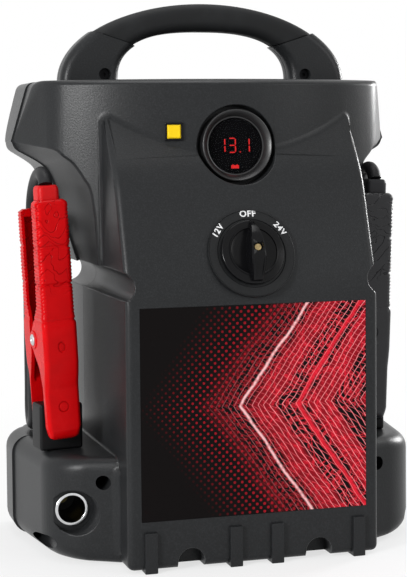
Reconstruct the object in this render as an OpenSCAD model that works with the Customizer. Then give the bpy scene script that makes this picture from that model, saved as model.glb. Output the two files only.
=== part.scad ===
// Portable 12/24 V jump starter pack: a two-shell case with a carrying handle,
// two clamp bays, a voltage gauge, a test button, a voltage selector and a 12 V socket.
// Millimetres. +Z is up, -Y is the control side, X runs to the right of the control side.

/* [Body] */
// Height of the body, from the floor to its flat top
body_h = 371; // [360:1:380]
// Depth of the front shell, from the panel face to the parting line
front_d = 139; // [134:1:144]
// Depth of the rear shell behind the parting line
rear_d = 61; // [58:1:70]
// Wall thickness of both shells
wall = 3; // [2.5:0.5:3.5]
// Height of the body's underside above the floor
floor_gap = 2; // [1:0.5:4]
// How far the rear shell stands out past the front shell at the parting line
rear_reveal = 1.5; // [0:0.5:3]
// Radius of the rear shell's upright corners
rear_corner_r = 34; // [24:1:38]

/* [Front panel] */
// Half width of the panel block at its face
panel_half_w = 100; // [98:1:101]
// Height at which the upright panel starts to lean back
panel_lean_z = 193; // [185:1:200]
// Lean of the panel round the selector
panel_lean = 20; // [16:1:22]
// Radius of the bend under the selector
panel_bend_r = 120; // [100:5:140]
// Height at which the panel starts its second bend
panel_top_z = 283; // [280:1:290]
// Lean of the panel's top
panel_top_lean = 38; // [34:1:40]
// Radius of the upper bend
panel_top_r = 95; // [80:5:110]

/* [Shoulders and bays] */
// Plan radius of the brow above the panel
brow_r = 216; // [205:1:230]
// Setback of the brow's middle behind the panel face
brow_setback = 43; // [38:1:48]
// Half width at which the brow turns into the side wall
brow_turn_x = 128; // [122:1:132]
// Plan radius of that turn
brow_turn_r = 40; // [30:1:46]
// Half width of the shoulders at the parting line
shoulder_half_w = 160; // [157:1:163]
// Height of the shoulders' widest line
shoulder_z = 322; // [318:1:326]
// Width of the flat top as a share of the shoulders' width
top_share = 0.92; // [0.9:0.01:0.95]
// Radius of the flat top's edge
top_edge_r = 8; // [6:1:10]
// Half width of the waist between the bays
waist_half_w = 103.5; // [103:0.5:104]
// Radius of the hook groove in each waist wall
notch_r = 11; // [9:0.5:12]
// Height of the hook grooves
notch_z = 215; // [205:1:220]

/* [Feet] */
// Half width of the feet at the parting line
foot_half_w = 163; // [160:1:166]
// Height of the feet's top
foot_z = 83; // [78:1:88]
// Setback of the feet behind the panel face
foot_setback = 26; // [22:1:30]
// Plan radius of the feet's front corners
foot_corner_r = 48; // [44:1:50]
// Radius of the feet's top outer edge
foot_top_r = 14; // [8:1:16]
// Radius of the feet's bottom outer edge
foot_low_r = 16; // [10:1:18]
// Width of each skid rib
rib_w = 10; // [8:1:12]
// Height of the skid ribs
rib_h = 32; // [26:1:36]
// How far the skid ribs stand out of the shells
rib_out = 3; // [2:0.5:4]
// Radius of the two half-round recesses in the front foot edge
recess_r = 10.5; // [8:0.5:12]

/* [Handle] */
// Outer half width of the handle where it meets the body
handle_half_w = 122; // [118:1:126]
// Height of the handle above the body
handle_h = 66; // [60:1:72]
// Half width of the hand opening
hand_half_w = 74; // [70:1:78]
// Height of the hand opening above the body
hand_h = 40; // [37:1:43]
// Depth of the handle, front to back
handle_d = 28; // [26:1:34]
// Slope of the soft grip's ends
grip_end_a = 18; // [12:1:24]
// Height above the body at which the slopes of the two ends meet
grip_end_z = 10; // [6:1:12]
// How far the soft grip lies below the handle's ends
grip_step = 1.5; // [1:0.5:2]
// Thickness of the soft grip
grip_t = 2.5; // [2:0.5:3]

/* [Screws] */
// Radius of the screw wells
well_r = 5.5; // [5:0.25:6]
// Radius of the screw heads
screw_head_r = 4.5; // [4:0.25:4.75]
// Radius of the screw shanks
screw_r = 2.2; // [2:0.1:2.3]
// Length of the screws under the head
screw_len = 30; // [24:1:34]
// Wall of the wells and bosses
boss_wall = 2.5; // [2:0.5:3]

/* [Gauge] */
// Height of the gauge's middle
gauge_z = 319; // [316:1:322]
// Outer radius of the gauge bezel
bezel_r = 28.2; // [27:0.2:29]
// Radius of the gauge window
window_r = 21.5; // [20:0.5:22.5]
// Radius of the round pocket that the gauge sits in
pocket_r = 31.5; // [31:0.5:33]
// Depth of the pocket
pocket_d = 12; // [10:1:13]
// Backward lean of the gauge
gauge_lean = 5; // [3:1:8]
// How far the bezel stands out of the brow
bezel_out = 2.5; // [1:0.5:4]
// Radius of the gauge can
can_r = 25; // [24:0.5:26]
// Depth of the gauge can behind the pocket floor
can_d = 32; // [25:1:36]

/* [Test button] */
// Distance of the button from the middle, to the left
button_x = 49; // [47:1:52]
// Height of the button
button_z = 330; // [326:1:334]
// Side of the square button cap
button_side = 10.6; // [9.5:0.1:11]
// Travel of the button
button_travel = 2; // [1:0.5:2.5]
// Height of the cap above its frame
button_out = 3; // [3:0.5:4]

/* [Selector] */
// Height of the selector's axis on the panel
selector_z = 237; // [235:1:240]
// Radius of the dial plate
dial_r = 34.5; // [33:0.5:36]
// Thickness of the dial plate
dial_t = 2.5; // [2:0.5:3]
// Radius of the knob's base
knob_r = 25; // [24:0.5:26]
// Height of the knob above the dial plate
knob_h = 18; // [16:1:20]
// Width of the knob's pointer ridge
ridge_w = 13; // [11:0.5:14]
// Radius of the selector shaft
shaft_r = 4; // [3.5:0.1:4.5]
// Side of the selector's switch body
switch_side = 52; // [46:1:54]
// Depth of the switch body
switch_d = 34; // [28:1:36]

/* [Socket] */
// Distance of the 12 V socket in from the side of the foot
socket_in = 31; // [30:1:33]
// Height of the 12 V socket
socket_z = 40; // [38:0.5:42]
// Radius of the recess that the socket sits in
socket_recess_r = 17; // [16.5:0.5:18]
// Depth of the socket's rim behind the panel face
socket_setback = 55; // [54:1:58]
// Inner radius of the socket barrel
socket_r = 10.5; // [10.4:0.1:10.6]
// Wall of the socket barrel
socket_wall = 1.2; // [1:0.1:1.4]
// Length of the socket barrel
socket_len = 42; // [38:1:46]

/* [Label] */
// Width of the front label
label_w = 179; // [170:1:182]
// Height of the front label
label_h = 160; // [150:1:164]
// Height of the label's lower edge
label_z = 39; // [36:1:42]
// Thickness of the label
label_t = 0.6; // [0.4:0.1:0.8]

/* [Batteries] */
// Width of one battery
battery_w = 181; // [175:1:184]
// Depth of one battery
battery_d = 77; // [74:1:78]
// Height of one battery
battery_h = 167; // [160:1:168]
// Thickness of the battery tray
tray_t = 1.5; // [1:0.5:2]
// Height of the tray above the floor
tray_z = 20; // [19:1:22]

/* [Clamps] */
// Width of a clamp's levers
clamp_w = 28; // [26:1:28]
// Height of a clamp's pivot above the foot
pivot_h = 87; // [82:1:92]
// Height of a clamp's handle above the foot
clamp_h = 196; // [190:1:198]
// Distance from the middle of a clamp to its lever faces
clamp_half_d = 25; // [24:1:26]
// Thickness of a lever's walls
lever_wall = 3; // [2.5:0.5:3.5]
// Radius of the pivot pins
pin_r = 3; // [2.5:0.25:3.5]
// Distance of the red clamp in from the side of the shoulder
red_clamp_in = 23; // [22:1:24]
// Yaw of the red clamp on its rest
red_clamp_yaw = 8; // [0:1:8]
// Lean of the red clamp, top outwards
red_clamp_lean = 3; // [0:0.5:3]
// Distance of the black clamp in from the side of the shoulder
black_clamp_in = 39.5; // [38:0.5:40]
// Yaw of the black clamp on its rest
black_clamp_yaw = 7; // [0:1:7]
// Lean of the black clamp, top outwards
black_clamp_lean = 2; // [1:0.5:3]
// Thickness of the rest that the jaws grip
rest_t = 22; // [20:1:24]
// Height of the rest
rest_h = 36; // [30:1:40]
// Width of the red clamp's rest
red_rest_w = 35; // [30:1:36]
// Width of the black clamp's rest
black_rest_w = 30; // [28:1:30]

/* [Cables] */
// Outer diameter of the clamp cables
cable_d = 11; // [10:1:11]
// Height of the cable glands above the feet
gland_h = 14; // [10:1:18]

/* [Hidden] */
$fn = 64;
hull_fn = 32;

// Clearances
eps = 0.02;
seat_gap = 0.3;         // between pieces that only rest on each other
run_gap = 0.05;         // radial, shaft in bore
far = 400;              // longer than any cut has to be

// ---- colours ----
shell_colour = [0.2, 0.205, 0.21];
black = [0.07, 0.07, 0.075];
steel = [0.72, 0.72, 0.74];
brass = [0.78, 0.62, 0.3];
red = [0.85, 0.05, 0.08];

// ---- distances from the middle ----
socket_x = foot_half_w - socket_in;
red_clamp_x = shoulder_half_w - red_clamp_in;
black_clamp_x = shoulder_half_w - black_clamp_in;

// ---- panel profile ----
// Setback of the leaning panel behind its face at height z
bend_z = panel_lean_z + panel_bend_r * sin(panel_lean);
bend_set = panel_bend_r * (1 - cos(panel_lean));
top_bend_z = panel_top_z + panel_top_r * (sin(panel_top_lean) - sin(panel_lean));
top_bend_set = panel_set(panel_top_z) + panel_top_r * (cos(panel_lean) - cos(panel_top_lean));
function panel_set(z) = bend_set + (z - bend_z) * tan(panel_lean);

// Depth positions. The knob is the foremost point and the rear ribs the rearmost one.
knob_reach = dial_t + knob_h;
knob_lead = knob_reach * cos(panel_lean) + (knob_r - 2) * sin(panel_lean) - panel_set(selector_z);
face_y = -(front_d + rear_d + rib_out - knob_lead) / 2;
part_y = face_y + front_d;
back_y = part_y + rear_d;

panel_up = concat(
    [[0, floor_gap], [0, panel_lean_z]],
    [for (i = [1:5]) let (a = panel_lean * i / 5)
        [panel_bend_r * (1 - cos(a)), panel_lean_z + panel_bend_r * sin(a)]],
    [[panel_set(panel_top_z), panel_top_z]],
    [for (i = [1:5]) let (a = panel_lean + (panel_top_lean - panel_lean) * i / 5)
        [panel_set(panel_top_z) + panel_top_r * (cos(panel_lean) - cos(a)),
         panel_top_z + panel_top_r * (sin(a) - sin(panel_lean))]],
    [[top_bend_set + (body_h - wall - top_bend_z) * tan(panel_top_lean), body_h - wall],
     [front_d + 40, body_h - wall], [front_d + 40, floor_gap]]);
panel_points = [for (i = [len(panel_up) - 1:-1:0]) panel_up[i]];

// ---- outlines ----
function unit(v) = v / norm(v);
function arc(c, r, a0, a1, n) =
    [for (i = [0:n]) let (a = a0 + (a1 - a0) * i / n) c + r * [cos(a), sin(a)]];
// Both halves of an outline, anticlockwise, from its right half listed anticlockwise
function both(half) = concat(half,
    [for (i = [len(half) - 1:-1:0]) if (half[i][0] > 0) [-half[i][0], half[i][1]]]);
// An anticlockwise outline with every side moved inwards by d
function inward(p, d) = [for (i = [0:len(p) - 1])
    let (n = len(p), u = unit(p[i] - p[(i + n - 1) % n]), v = unit(p[(i + 1) % n] - p[i]),
         m = [-u[1], u[0]], k = [-v[1], v[0]]) p[i] + d * (m + k) / (1 + m * k)];

// Plans are [x, depth behind the panel face]
brow_mid = brow_setback + brow_r;
turn_a = asin(brow_turn_x / brow_r);
turn_c = [brow_turn_x - brow_turn_r * sin(turn_a),
          brow_mid - brow_r * cos(turn_a) + brow_turn_r * cos(turn_a)];
side_a = 68;
shell_lap = 40;         // how far each hollow runs past the parting line
brow_plan = both(concat(
    arc([0, brow_mid], brow_r, -90, turn_a - 90, 9),
    arc(turn_c, brow_turn_r, turn_a - 90 + 10, side_a - 90, 5),
    [[shoulder_half_w, front_d], [shoulder_half_w, front_d + shell_lap]]));
foot_line_a = 22.6;
foot_side_a = 81.5;
foot_turn_in = 39;
foot_turn = [foot_half_w - foot_turn_in, foot_setback + 10];
foot_c = foot_turn + foot_corner_r * [-sin(foot_line_a), cos(foot_line_a)];
foot_plan = both(concat(
    [[0, foot_setback - 3], [panel_half_w, foot_setback]],
    arc(foot_c, foot_corner_r, foot_line_a - 90, foot_side_a - 90, 8),
    [[foot_half_w, front_d], [foot_half_w, front_d + shell_lap]]));
waist_plan = both([
    [0, 0], [panel_half_w, 0], [waist_half_w, front_d], [waist_half_w, front_d + shell_lap]]);

// Fronts are [x, z]. The bays are bounded by the shoulders' underside, the waist and the feet.
// The shoulders' underside from the tip inwards, on the brow and at the parting line
bay_on_brow = [[-2.3, 0], [-11.8, -2.4], [-24.5, -5.6], [-31, -11], [-38, -17.4], [-45, -29],
               [-49, -36.5], [-51.5, -51], [-53, -67], [-54.5, -97]];
bay_at_part = [[-1, 0], [-4, -5.5], [-14.5, -11.5], [-22, -16], [-27.8, -21], [-32.8, -30.5],
               [-35, -38], [-39.5, -54], [-44.5, -70], [-53, -97]];
bay_step = 104;
function brow_front(out, t) = both(concat(
    [[waist_half_w, foot_z + 20], [waist_half_w, shoulder_z - 104]],
    [for (i = [len(bay_on_brow) - 1:-1:0])
        [shoulder_half_w + out, shoulder_z] + (1 - t) * bay_on_brow[i] + t * bay_at_part[i]],
    [[shoulder_half_w + out, shoulder_z + 1]],
    arc([(shoulder_half_w + out) * top_share + 1 - top_edge_r, body_h - top_edge_r],
        top_edge_r, 13, 90, 4)));
function foot_front(out) = both(concat(
    [[0, floor_gap]],
    arc([foot_half_w + out - foot_low_r, floor_gap + foot_low_r], foot_low_r, -90, 0, 5),
    arc([foot_half_w + out - foot_top_r, foot_z - foot_top_r], foot_top_r, 0, 90, 5),
    [[0, foot_z]]));

module upright(plan) {
    translate([0, face_y, 0]) linear_extrude(body_h + 1) polygon(plan);
}
module along_y(front, y0, y1) {
    translate([0, y1, 0]) rotate([90, 0, 0]) linear_extrude(y1 - y0) polygon(front);
}
// The bays are wider in front, where the clamps' levers stand
bay_relief = concat(
    [[far, shoulder_z - 97], [far, shoulder_z]],
    [for (q = bay_on_brow) [shoulder_half_w, shoulder_z] + q]);
// The front half of the body, made smaller all round by inset
module brow_form(inset) {
    difference() {
        intersection() {
            along_y(inward(brow_front(0, 0.5), inset), face_y, part_y + shell_lap);
            upright(inward(brow_plan, inset));
        }
        for (s = [0, 1]) mirror([s, 0, 0])
            along_y(inward(bay_relief, -inset), face_y - 1, face_y + bay_step + inset);
    }
}
module panel_form(inset) {
    intersection() {
        translate([0, face_y, 0]) rotate([90, 0, 90]) linear_extrude(far, center = true)
            polygon(inward(panel_points, inset));
        upright(inward(waist_plan, inset));
    }
}
module foot_form(inset) {
    intersection() {
        along_y(inward(foot_front(0), inset), face_y, part_y + shell_lap);
        upright(inward(foot_plan, inset));
    }
}

// Four ribs up the face, each turned under the body as a skid
module skid_ribs() {
    for (x = [-83, -16.5, 16.5, 83]) translate([x - rib_w / 2, -rib_out, 0]) {
        cube([rib_w, rib_out + wall, rib_h]);
        cube([rib_w, rib_out + skid_l, floor_gap + wall]);
    }
}

module hook_grooves() {
    for (s = [-1, 1]) translate([s * waist_half_w, back_y + 1, notch_z])
        rotate([90, 0, 0]) cylinder(r = notch_r, h = far);
}

// The wall round the hook grooves, inside the case
module groove_walls(y0, y1) {
    for (s = [-1, 1]) translate([s * waist_half_w, y1, notch_z]) rotate([90, 0, 0])
        intersection() {
            cylinder(r = notch_r + wall, h = y1 - y0);
            translate([-s * far / 2, 0, 0]) cube([far, far, far], center = true);
        }
}

skid_l = 27;
recess_x = 51;
recess_z = 6;
recess_d = 14;

// Screws: [x, z, depth of the head's seat in front of the parting line]
screw_seat = 13;
screw_head_h = 3.2;
screw_in = [51, 13];
screw_z = [64, 13.5];
body_screws = [for (s = [-1, 1], i = [0, 1]) [s * (foot_half_w - screw_in[i]), screw_z[i]]];
handle_screw_x = 86;
handle_screw_z = body_h + 6;
handle_seat = 6;

module part_side(y0, y1) {
    translate([-far, y0, -far]) cube([2 * far, y1 - y0, 2 * far]);
}

module front_shell() {
    color(shell_colour) difference() {
        union() {
            difference() {
                intersection() {
                    union() { brow_form(0); panel_form(0); foot_form(0); }
                    part_side(face_y - 1, part_y);
                }
                difference() {
                    union() { brow_form(wall); panel_form(wall); foot_form(wall); }
                    part_side(face_y - 1, face_y);
                }
            }
            groove_walls(panel_set(notch_z) + face_y, part_y);
            translate([0, face_y, 0]) skid_ribs();
            // tray supports behind the panel
            for (x = [-60, 0, 60]) translate([x - 2, face_y + wall - eps, floor_gap + wall - eps])
                cube([4, front_d - wall, tray_z - floor_gap - wall]);
            // screw wells
            intersection() {
                for (q = body_screws) translate([q[0], part_y, q[1]]) rotate([90, 0, 0])
                    cylinder(r = well_r + boss_wall, h = front_d);
                foot_form(0);
                part_side(face_y, part_y);
            }
            // gauge cup
            intersection() {
                at_gauge() translate([0, 0, -pocket_d - wall])
                    cylinder(r = pocket_r + wall, h = pocket_d + 20);
                union() { brow_form(0); panel_form(0); }
            }
            // selector pad
            at_selector() translate([0, 0, -wall - 1]) cylinder(r = dial_r, h = wall + 1);
            // walls of the half-round recesses
            intersection() {
                for (s = [-1, 1]) translate([s * recess_x, face_y, recess_z]) rotate([-90, 0, 0])
                    cylinder(r = recess_r + wall, h = 2 * wall + recess_d);
                panel_form(0);
            }
            // button boss
            at_button() translate([-9, -9, -6]) cube([18, 18, 6 - 0.6]);
            // socket cup
            intersection() {
                translate([-socket_x, face_y + socket_setback + socket_floor, socket_z]) rotate([90, 0, 0])
                    cylinder(r = socket_recess_r + wall, h = socket_setback + socket_floor);
                foot_form(0);
            }
        }
        hook_grooves();
        // half-round recesses in the lower front edge
        for (s = [-1, 1]) translate([s * recess_x, face_y - 1, recess_z]) {
            rotate([-90, 0, 0]) cylinder(r = recess_r, h = wall + recess_d + 1);
            translate([-recess_r, 0, -recess_z - 1])
                cube([2 * recess_r, wall + recess_d + 1, recess_z + 1]);
        }
        // label recess
        translate([-label_w / 2 - seat_gap, face_y - 1, label_z - seat_gap])
            cube([label_w + 2 * seat_gap, 1 + label_t, label_h + 2 * seat_gap]);
        // screw wells and clearance holes
        for (q = body_screws) translate([q[0], part_y, q[1]]) rotate([90, 0, 0]) {
            translate([0, 0, screw_seat]) cylinder(r = well_r, h = front_d);
            translate([0, 0, -1]) cylinder(r = screw_r + 0.3, h = screw_seat + 2);
        }
        // gauge pocket and can hole
        at_gauge() {
            translate([0, 0, -pocket_d]) cylinder(r = pocket_r, h = 60);
            translate([0, 0, -pocket_d - wall - 1]) cylinder(r = can_r + seat_gap, h = wall + 2);
        }
        // selector bush hole
        at_selector() translate([0, 0, -wall - 2]) cylinder(r = shaft_r + 3, h = wall + 4);
        // button opening
        at_button() translate([0, 0, -4]) cube([button_side + 2.4, button_side + 2.4, 30], center = true);
        // socket recess and barrel hole
        translate([-socket_x, 0, socket_z]) rotate([90, 0, 0]) {
            translate([0, 0, -face_y - socket_setback])
                cylinder(r = socket_recess_r, h = socket_setback + 1);
            translate([0, 0, -face_y - socket_setback - socket_floor - 1])
                cylinder(r = socket_r + socket_wall + 0.1, h = socket_floor + 2);
        }
        // handle lugs and cable glands, each trapped at the parting line
        handle_lugs(0.1, -far, far);
        gland_holes();
    }
}

function rear_plan(half_w) = both(concat(
    [[0, front_d - shell_lap], [half_w, front_d - shell_lap]],
    arc([half_w - rear_corner_r, front_d + rear_d - rear_corner_r], rear_corner_r, 0, 90, 7),
    [[0, front_d + rear_d]]));

// The rear half of the body, made smaller all round by inset
module rear_form(inset) {
    intersection() {
        along_y(inward(brow_front(rear_reveal, 1), inset), part_y - shell_lap, back_y);
        upright(inward(rear_plan(shoulder_half_w + rear_reveal), inset));
    }
    translate([-waist_half_w + inset, part_y - shell_lap, floor_gap + inset])
        cube([2 * (waist_half_w - inset), rear_d + shell_lap - inset, notch_z]);
    intersection() {
        along_y(inward(foot_front(rear_reveal), inset), part_y - shell_lap, back_y);
        upright(inward(rear_plan(foot_half_w + rear_reveal), inset));
    }
}

module rear_shell() {
    color(shell_colour) difference() {
        union() {
            difference() {
                intersection() { rear_form(0); part_side(part_y, back_y); }
                rear_form(wall);
            }
            groove_walls(part_y, back_y);
            translate([0, back_y, 0]) mirror([0, 1, 0]) skid_ribs();
            for (x = [-60, 0, 60]) translate([x - 2, part_y, floor_gap + wall - eps])
                cube([4, rear_d - wall + eps, tray_z - floor_gap - wall]);
            for (q = body_screws) translate([q[0], back_y - wall + eps, q[1]]) rotate([90, 0, 0])
                cylinder(r = screw_r + boss_wall, h = rear_d - wall);
        }
        hook_grooves();
        for (q = body_screws) translate([q[0], part_y + screw_len - screw_seat + 1, q[1]])
            rotate([90, 0, 0]) cylinder(r = screw_r + 0.1, h = screw_len);
        handle_lugs(0.1, -far, far);
        gland_holes();
    }
}

module shell_screws() {
    module one(length) rotate([-90, 0, 0]) {
        difference() {
            cylinder(r = screw_head_r, h = screw_head_h);
            translate([0, 0, -1]) cylinder(r = 1.8, h = 2.8, $fn = 6);
        }
        translate([0, 0, screw_head_h - eps]) cylinder(r = screw_r, h = length);
    }
    color(steel) {
        for (q = body_screws) translate([q[0], part_y - screw_seat - screw_head_h, q[1]]) one(screw_len);
        for (s = [-1, 1])
            translate([s * handle_screw_x, part_y - handle_seat - screw_head_h, handle_screw_z])
                one(handle_seat + handle_d / 2 - 4);
    }
}

module label_plate() {
    color([0.12, 0.03, 0.04]) translate([-label_w / 2, face_y, label_z]) cube([label_w, label_t, label_h]);
}

// ---- handle ----
function arch(a, b, n, steps) = [for (i = [0:steps]) let (t = 180 * i / steps)
    [a * sign(cos(t)) * pow(abs(cos(t)), 2 / n), b * pow(sin(t), 2 / n)]];

module handle_ring(shrink) {
    difference() {
        polygon(arch(handle_half_w - shrink, handle_h - shrink, 2, 48));
        translate([0, -eps]) polygon(arch(hand_half_w + shrink, hand_h + shrink, 2.6, 48));
    }
}

// The part of the arch above the slopes of the grip's ends
module grip_sector(gap) {
    x = far * cos(grip_end_a);
    z = far * sin(grip_end_a);
    translate([0, grip_end_z + gap]) polygon([[0, 0], [x, z], [x, far], [-x, far], [-x, z]]);
}
module grip_core(gap) {
    linear_extrude(handle_d - 2 * (grip_t + grip_step) + 2 * gap, center = true)
        handle_ring(grip_t + grip_step - gap);
}

// T-shaped lugs under the arch's ends, trapped in the top face at the parting line
lug_x = 98;
lug_d = 16;
module handle_lugs(gap, y0, y1) {
    intersection() {
        for (s = [-1, 1]) translate([s * lug_x, part_y, 0]) {
            translate([-12 - gap, -lug_d / 2 - gap, body_h - wall - 5])
                cube([24 + 2 * gap, lug_d + 2 * gap, wall + 5 + gap]);
            translate([-16 - gap, -lug_d / 2 - gap, body_h - wall - 5 - gap])
                cube([32 + 2 * gap, lug_d + 2 * gap, 5 - seat_gap + 2 * gap]);
        }
        part_side(y0, y1);
    }
}

module handle_half(s) {
    y0 = s < 0 ? part_y - handle_d / 2 : part_y;
    difference() {
        union() {
            translate([0, y0 + handle_d / 2, body_h]) rotate([90, 0, 0]) linear_extrude(handle_d / 2)
                handle_ring(0);
            handle_lugs(0, y0, y0 + handle_d / 2);
        }
        // the soft grip's seat
        translate([0, part_y, body_h]) rotate([90, 0, 0]) intersection() {
            linear_extrude(far, center = true) grip_sector(0);
            difference() {
                cube(far, center = true);
                grip_core(0);
            }
        }
        for (k = [-1, 1]) translate([k * handle_screw_x, part_y, handle_screw_z]) rotate([90, 0, 0]) {
            translate([0, 0, handle_seat]) cylinder(r = well_r - 0.5, h = far);
            translate([0, 0, -handle_d / 2 + 3]) cylinder(r = screw_r + 0.1, h = handle_d);
        }
    }
}

module handle_front() { color(shell_colour) handle_half(-1); }
module handle_rear() { color(shell_colour) handle_half(1); }

module handle_grip() {
    color(black) translate([0, part_y, body_h]) rotate([90, 0, 0]) intersection() {
        linear_extrude(far, center = true) grip_sector(0.1);
        difference() {
            linear_extrude(handle_d - 2 * grip_step, center = true) handle_ring(grip_step);
            grip_core(0.05);
        }
    }
}

// ---- voltage gauge ----
module at_gauge() {
    translate([0, face_y + brow_setback, gauge_z]) rotate([90 - gauge_lean, 0, 0]) children();
}

module gauge_bezel() {
    color(black) at_gauge() translate([0, 0, -pocket_d]) rotate_extrude() polygon([
        [can_r - 3, 0], [bezel_r, 0], [bezel_r, pocket_d + bezel_out - 0.8],
        [bezel_r - 0.8, pocket_d + bezel_out], [window_r + 3.5, pocket_d + bezel_out],
        [window_r, pocket_d + bezel_out - 3], [window_r, pocket_d - 4], [can_r - 3, pocket_d - 4]]);
}
module gauge_lens() {
    color([0.05, 0.05, 0.06, 0.5]) at_gauge() translate([0, 0, -6.1]) cylinder(r = can_r - 3.1, h = 2);
}
module gauge_display() {
    color(black) at_gauge() translate([0, 0, -9]) cylinder(r = can_r - 3.1, h = 2.4);
}
module gauge_can() {
    color(black) at_gauge() difference() {
        translate([0, 0, -pocket_d - can_d]) cylinder(r = can_r, h = can_d);
        translate([0, 0, -pocket_d - can_d + 2]) cylinder(r = can_r - 2, h = can_d);
    }
}
module gauge_clamp_nut() {
    color(black) at_gauge() translate([0, 0, -pocket_d - wall - 6]) difference() {
        cylinder(r = can_r + 5, h = 6);
        translate([0, 0, -1]) cylinder(r = can_r + run_gap, h = 8);
    }
}

// ---- test button ----
button_a = asin(button_x / brow_r);
module at_button() {
    translate([-button_x, face_y + brow_mid - brow_r * cos(button_a), button_z])
        rotate([0, 0, -button_a]) rotate([90, 0, 0]) children();
}
module square_tube(side, hole, h) {
    difference() {
        translate([-side / 2, -side / 2, 0]) cube([side, side, h]);
        translate([-hole / 2, -hole / 2, -1]) cube([hole, hole, h + 2]);
    }
}
module button_frame() {
    color(black) at_button() {
        translate([0, 0, -7]) square_tube(button_side + 2.2, button_side + 0.6, 8.6);
        translate([0, 0, eps]) square_tube(button_side + 3.4, button_side + 2.1, 1.6);
    }
}
stem_r = 1.8;
module test_button() {
    color([0.95, 0.75, 0.05]) at_button() {
        translate([-button_side / 2, -button_side / 2, -4.5])
            cube([button_side, button_side, 4.5 + button_out]);
        translate([0, 0, -9.5]) cylinder(r = stem_r, h = 6);
    }
}
module button_switch() {
    color(black) at_button() difference() {
        translate([-7, -7, -20]) cube([14, 14, 12.9]);
        translate([0, 0, -10 - button_travel]) cylinder(r = stem_r + run_gap, h = 20);
    }
}

// ---- voltage selector ----
module at_selector() {
    translate([0, face_y + panel_set(selector_z), selector_z]) rotate([90 - panel_lean, 0, 0]) children();
}
module dial_plate() {
    color(shell_colour) at_selector() rotate_extrude() polygon([
        [shaft_r + 1, 0], [dial_r, 0], [dial_r, dial_t - 1.2], [dial_r - 1.2, dial_t],
        [shaft_r + 1, dial_t]]);
}
module selector_knob() {
    ridge_points = [[-ridge_w * 0.12, knob_r - 1], [ridge_w * 0.12, knob_r - 1],
        [ridge_w * 0.36, knob_r * 0.45], [ridge_w / 2, 0], [ridge_w * 0.44, -knob_r * 0.5],
        [ridge_w * 0.3, 2 - knob_r], [-ridge_w * 0.3, 2 - knob_r], [-ridge_w * 0.44, -knob_r * 0.5],
        [-ridge_w / 2, 0], [-ridge_w * 0.36, knob_r * 0.45]];
    color(black) at_selector() translate([0, 0, dial_t + seat_gap]) difference() {
        union() {
            cylinder(r = knob_r, h = 4);
            cylinder(r = knob_r * 0.72, h = 7);
            linear_extrude(knob_h - seat_gap) polygon(ridge_points);
        }
        translate([0, 0, -1]) cylinder(r = shaft_r + 0.02, h = 11);
        translate([0, 0, 9.9]) cylinder(r = 3.2, h = 20);
    }
}
module knob_screw() {
    color(brass) at_selector() translate([0, 0, dial_t + 10 + seat_gap]) difference() {
        cylinder(r = 3.1, h = knob_h - 12);
        translate([-4, -0.4, knob_h - 13]) cube([8, 0.8, 2]);
    }
}
module selector_shaft() {
    color(steel) at_selector() translate([0, 0, -wall - 26])
        cylinder(r = shaft_r, h = wall + 26 + dial_t + 10 + seat_gap);
}
// The switch hangs behind the panel on the bush round its shaft
switch_z = -wall - 4.5;
module selector_studs(r, h) {
    for (x = [-1, 1], y = [-1, 1]) translate([x * 18, y * 18, 0]) cylinder(r = r, h = h);
}
module selector_switch() {
    color([0.5, 0.12, 0.1]) at_selector() difference() {
        union() {
            translate([-switch_side / 2, -switch_side / 2, switch_z - switch_d])
                cube([switch_side, switch_side, switch_d]);
            translate([0, 0, switch_z - 0.1]) cylinder(r = shaft_r + 2.8, h = -switch_z);
            translate([0, 0, switch_z - switch_d - 10]) selector_studs(3, 10.1);
        }
        translate([0, 0, -wall - 27]) cylinder(r = shaft_r + run_gap, h = 60);
    }
}
module selector_nut() {
    color(steel) at_selector() translate([0, 0, switch_z - switch_d - 8]) difference() {
        for (x = [-1, 1], y = [-1, 1]) translate([x * 18, y * 18, 0]) cylinder(r = 5.5, h = 4, $fn = 6);
        translate([0, 0, -1]) selector_studs(3.02, 6);
    }
}

// ---- 12 V socket ----
module at_socket() {
    translate([-socket_x, face_y + socket_setback, socket_z]) rotate([90, 0, 0]) children();
}
socket_out = socket_r + socket_wall;
socket_floor = 8;
module socket_barrel() {
    color(steel) at_socket() rotate_extrude() polygon([
        [socket_r, 1.2], [socket_out + 1.3, 1.2], [socket_out + 1.3, 0], [socket_out, 0],
        [socket_out, -socket_len], [socket_r, -socket_len]]);
}
module socket_nut() {
    color(black) at_socket() translate([0, 0, -socket_floor - 8]) difference() {
        cylinder(r = socket_out + 2.8, h = 8);
        translate([0, 0, -1]) cylinder(r = socket_out + 0.02, h = 10);
    }
}
contact_r = 5;
module socket_insulator() {
    color(black) at_socket() translate([0, 0, -socket_len - 6]) difference() {
        cylinder(r = socket_out, h = 6);
        translate([0, 0, 3]) cylinder(r = contact_r + run_gap, h = 4);
        translate([0, 0, -1]) cylinder(r = 2 + run_gap, h = 5);
    }
}
module socket_contact() {
    color(brass) at_socket() translate([0, 0, -socket_len - 3]) {
        cylinder(r = contact_r, h = 2.5);
        translate([0, 0, -8]) cylinder(r = 2, h = 8 + eps);
    }
}

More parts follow.
